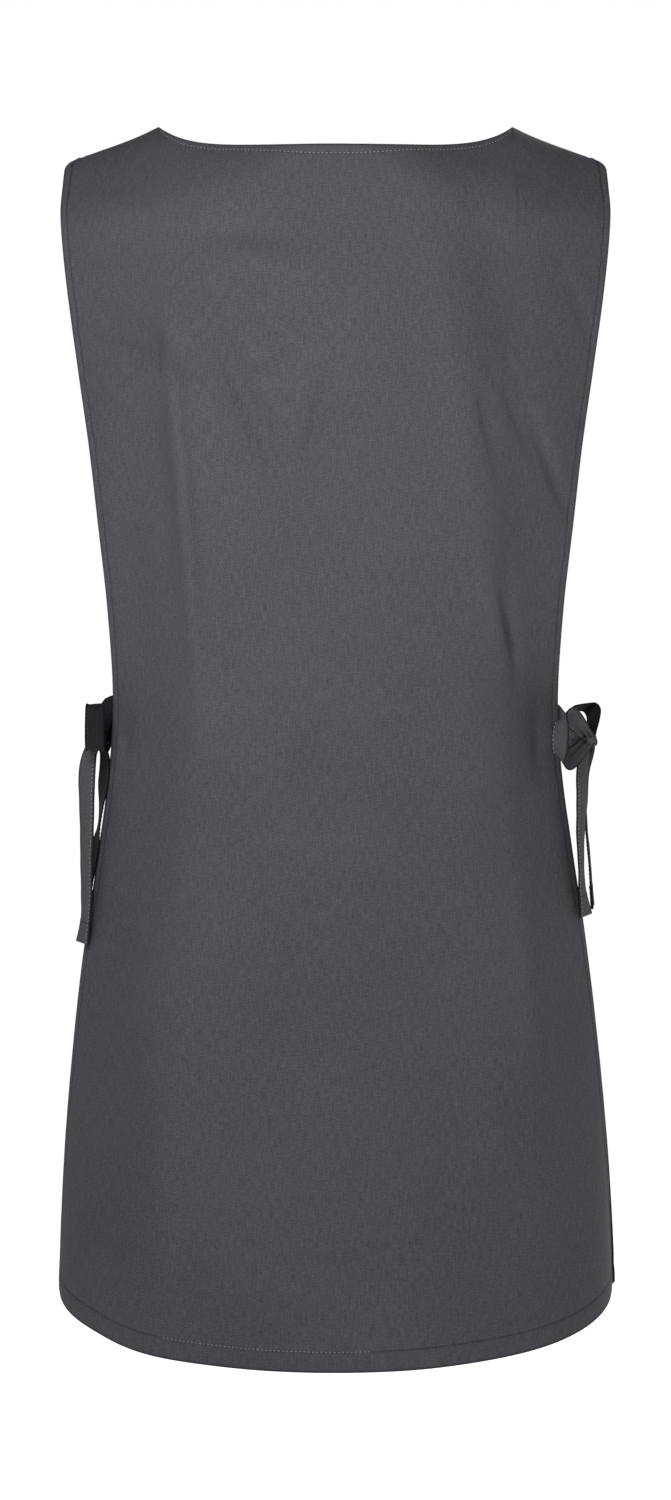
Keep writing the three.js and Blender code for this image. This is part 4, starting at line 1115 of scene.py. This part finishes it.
def tie_object(bow, tie, panel):
    """One tie: its stub, loop and tail as one strap with the knot's band or core, and its stitches."""
    is_front = panel is FRONT
    side, knot, start = bow["side"], knot_of(bow), tie["start"]
    solids, lines = Solids(), []
    stub = stub_frames(panel, side, knot, tie["sag"])
    ribbon(solids, lines, stub, 1 if side > 0 or is_front else -1, start, tie["stub_tones"])
    ribbon(solids, lines, loop_frames(knot, tie), tie["loop_face"], start + 0.3, tie["loop_tones"])
    tail = tail_frames(knot, side, tie)
    ribbon(solids, lines, tail, -1 if is_front else 1, start + 0.7, tie["tail_tones"], end_fold=True)
    knot_part = knot_band if is_front else knot_core
    knot_part(solids, knot, bow["wrap_axis"], start)
    name = tie["name"]
    strap = solids.build(name + "_strap", [TIE_TWILL, TIE_REVERSE])
    threads = stitch_object(name + "_stitches", lines, STITCH_MATERIALS)
    for piece in (strap, threads):
        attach(piece, "root")
    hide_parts(name)


# Materials
WHITE = (1, 1, 1, 1)
TWILL_DARK, TWILL_LIGHT = (0.061, 0.062, 0.071), (0.13, 0.132, 0.152)
BLACK_DARK, BLACK_LIGHT = (0.012, 0.012, 0.014), (0.022, 0.022, 0.025)
# How dark the painted shade along edges gets, as a share of the cloth's dark colour
PAINTED_SHADE_TONE = 0.3

# The weave: the ribs' turn in degrees, the scales of the textures, and the shares in which they mix
RIB_TURN = -58
PANEL_RIB_SCALE = 238.73
STRAP_RIB_SCALE = 270.56
WARP_SCALE = (1200, 100, 1)
WEFT_SCALE = (260, 1000, 1)
PATCH_SCALE = 9
YARN_SHARE = 0.74
PATCH_SHARE = 0.12
DARK_UP_TO, LIGHT_FROM = 0.39, 0.61
WEAVE_HEIGHT = 0.0003

# Places of the colour sockets of a mix node
MIX_A, MIX_B, MIX_RESULT = 6, 7, 2


def fill(tree, node, inputs):
    """Give a node's inputs their values, or link them to other nodes' outputs."""
    for key, value in inputs.items():
        if isinstance(value, bpy.types.NodeSocket):
            tree.links.new(value, node.inputs[key])
        else:
            node.inputs[key].default_value = value
    return node


def add_node(tree, kind, inputs, **settings):
    node = tree.nodes.new(kind)
    for key, value in settings.items():
        setattr(node, key, value)
    return fill(tree, node, inputs)


def new_material(name):
    material = bpy.data.materials.new(name)
    material.use_nodes = True
    return material, material.node_tree, material.node_tree.nodes["Principled BSDF"]


def twill_material(name, dark, light, rib_scale):
    """Fine diagonal twill on the cloth's own coordinates, with uneven yarns, painted shade along the edges
    and a soft sheen.
    """
    material, tree, surface = new_material(name)

    def math_node(operation, first, second):
        return add_node(tree, "ShaderNodeMath", {0: first, 1: second}, operation=operation).outputs[0]

    def blend(first, second, share):
        return math_node("ADD", math_node("MULTIPLY", first, share), math_node("MULTIPLY", second, 1 - share))

    def mapped(key, value):
        return add_node(tree, "ShaderNodeMapping", {"Vector": flat, key: value}).outputs["Vector"]

    def noise(place, scale, detail):
        inputs = {"Vector": place, "Scale": scale, "Detail": detail}
        return add_node(tree, "ShaderNodeTexNoise", inputs).outputs["Fac"]

    flat = add_node(tree, "ShaderNodeUVMap", {}, uv_map="cloth").outputs["UV"]
    turned = mapped("Rotation", (0, 0, math.radians(RIB_TURN)))
    bands = {"Vector": turned, "Scale": rib_scale, "Distortion": 1.6, "Detail": 2, "Detail Scale": 1.5}
    ribs = add_node(tree, "ShaderNodeTexWave", bands, wave_type="BANDS", bands_direction="X").outputs["Fac"]
    warp = noise(mapped("Scale", WARP_SCALE), 1, 2)
    weft = noise(mapped("Scale", WEFT_SCALE), 1, 2)
    weave = blend(blend(warp, weft, 0.5), ribs, YARN_SHARE)
    tone = blend(noise(flat, PATCH_SCALE, 4), weave, PATCH_SHARE)
    ramp = add_node(tree, "ShaderNodeValToRGB", {"Fac": tone})
    for stop, place, color in zip(ramp.color_ramp.elements, (DARK_UP_TO, LIGHT_FROM), (dark, light)):
        stop.position = place
        stop.color = (*color, 1)
    # The colour darkens toward a share of the dark colour along edges and stitch grooves: painted shade.
    painted_shade = add_node(tree, "ShaderNodeAttribute", {}, attribute_name="painted_shade").outputs["Fac"]
    painted_shade_color = (*[PAINTED_SHADE_TONE * c for c in dark], 1)
    shades = {"Factor": painted_shade, MIX_A: ramp.outputs["Color"], MIX_B: painted_shade_color}
    color = add_node(tree, "ShaderNodeMix", shades, data_type="RGBA").outputs[MIX_RESULT]
    height = {"Height": weave, "Strength": 0.35, "Distance": WEAVE_HEIGHT}
    inputs = {
        "Base Color": color,
        "Normal": add_node(tree, "ShaderNodeBump", height).outputs["Normal"],
        "Roughness": 0.85,
        "Specular IOR Level": 0.15,
        "Sheen Weight": 0.03,
        "Sheen Roughness": 0.5,
    }
    fill(tree, surface, inputs)
    return material


def plain_material(name, color, roughness, glow=0):
    """One colour all over, which shines white by itself where glow is above 0."""
    material, tree, surface = new_material(name)
    fill(tree, surface, {"Base Color": (*color, 1), "Roughness": roughness})
    if glow:
        fill(tree, surface, {"Emission Color": WHITE, "Emission Strength": glow})
    return material


PANEL_TWILL = twill_material("panel_twill", TWILL_DARK, TWILL_LIGHT, PANEL_RIB_SCALE)
TIE_TWILL = twill_material("tie_twill", TWILL_DARK, TWILL_LIGHT, STRAP_RIB_SCALE)
TIE_REVERSE = twill_material("tie_black", BLACK_DARK, BLACK_LIGHT, STRAP_RIB_SCALE)
# Thread lightened as a painted highlight, darkened thread for painted shade that also serves the black faces,
# and a dark body that paints the shade in each needle hole
HIGHLIGHT_THREAD = plain_material("thread", (0.27, 0.275, 0.295), 0.6)
SHADE_AND_BLACK_THREAD = plain_material("shade_and_black_thread", (0.035, 0.036, 0.041), 0.7)
HOLE_SHADE_BODY = plain_material("painted_hole_shade", BLACK_DARK, 0.9)
STITCH_MATERIALS = (HIGHLIGHT_THREAD, HOLE_SHADE_BODY, SHADE_AND_BLACK_THREAD)

for panel, creases, phase in ((BACK, BACK_CREASES, 0.3), (FRONT, FRONT_CREASES, 2.1)):
    cloth = Cloth(panel, creases, phase)
    piece = panel_object(panel.name + "_cloth", cloth, PANEL_TWILL)
    threads = stitch_object(panel.name + "_stitches", cloth.stitch_lines(), STITCH_MATERIALS)
    for thing in (piece, threads):
        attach(thing, "root")
    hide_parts(panel.name)

for row in BOWS:
    bow = dict(zip(BOW_COLUMNS, row))
    tie_object(bow, bow["back"], BACK)
    tie_object(bow, bow["front"], FRONT)

# Floor, light and camera, in metres apart from MM_PER_PIXEL
SHOULDER_TO_FLOOR = 1.4
FLOOR_HALF = 12.0
FLOOR_COLOR = (0.75, 0.75, 0.75)
FLOOR_GLOW = 0.9
LIGHT_LEVEL = 0.408
LIGHT_TILT = (0.12, 0, -0.32)
CAMERA_DISTANCE = 3.0
CAMERA_ELEVATION = 5.5
AIM_HEIGHT = -0.422
MM_PER_PIXEL = 0.7
PHOTO_HEIGHT = 1500


def soft_light(name, place, aim, size, power):
    """A round softbox that lights the apron and isn't itself in the picture."""
    lamp = bpy.data.lights.new(name, "AREA")
    lamp.shape = "DISK"
    lamp.size = size
    lamp.energy = power
    thing = put_in_scene(name, lamp)
    thing.location = place
    thing.rotation_euler = (Vector(aim) - Vector(place)).to_track_quat("-Z", "Y").to_euler()
    thing.visible_camera = False


def floor():
    size = FLOOR_HALF
    corners = [(-size, -size, 0), (size, -size, 0), (size, size, 0), (-size, size, 0)]
    plane = new_object("floor", np.array(corners) / MM, [(0, 1, 2, 3)])
    plane.location.z = -SHOULDER_TO_FLOOR
    plane.data.materials.append(plain_material("pale_floor", FLOOR_COLOR, 1, FLOOR_GLOW))
    plane.visible_diffuse = False


def camera():
    distance = CAMERA_DISTANCE / math.cos(math.radians(CAMERA_ELEVATION))
    eye = bpy.data.cameras.new("photo_camera")
    eye.sensor_width = 36
    eye.lens = eye.sensor_width * distance / (PHOTO_HEIGHT * MM_PER_PIXEL * MM)
    eye.clip_end = 100
    thing = put_in_scene("photo_camera", eye)
    rise = CAMERA_DISTANCE * math.tan(math.radians(CAMERA_ELEVATION))
    thing.location = (0, -CAMERA_DISTANCE, AIM_HEIGHT + rise)
    thing.rotation_euler = (math.radians(90 - CAMERA_ELEVATION), 0, 0)
    bpy.context.scene.camera = thing


def studio_walls():
    """White behind the apron, and soft light that is strongest along LIGHT_TILT."""
    world = bpy.data.worlds.new("studio")
    world.use_nodes = True
    tree = world.node_tree
    way = add_node(tree, "ShaderNodeTexCoord", {}).outputs["Generated"]
    dot = add_node(tree, "ShaderNodeVectorMath", {0: way, 1: LIGHT_TILT}, operation="DOT_PRODUCT")
    level = add_node(tree, "ShaderNodeMath", {0: dot.outputs["Value"], 1: LIGHT_LEVEL}, operation="ADD")
    light = fill(tree, tree.nodes["Background"], {"Color": WHITE, "Strength": level.outputs[0]})
    backdrop = add_node(tree, "ShaderNodeBackground", {"Color": WHITE})
    seen = add_node(tree, "ShaderNodeLightPath", {}).outputs["Is Camera Ray"]
    choice = {"Fac": seen, 1: light.outputs[0], 2: backdrop.outputs[0]}
    mixed = add_node(tree, "ShaderNodeMixShader", choice).outputs[0]
    fill(tree, tree.nodes["World Output"], {"Surface": mixed})
    bpy.context.scene.world = world


floor()
camera()
studio_walls()
soft_light("key", place=(-0.23, -0.92, 0.02), aim=(-0.05, 0, -0.32), size=0.3, power=5)
soft_light("front_side", place=(1.2, 2.4, 0.6), aim=(0, 0, -0.4), size=1.4, power=30)
bpy.context.scene.view_settings.view_transform = "Standard"
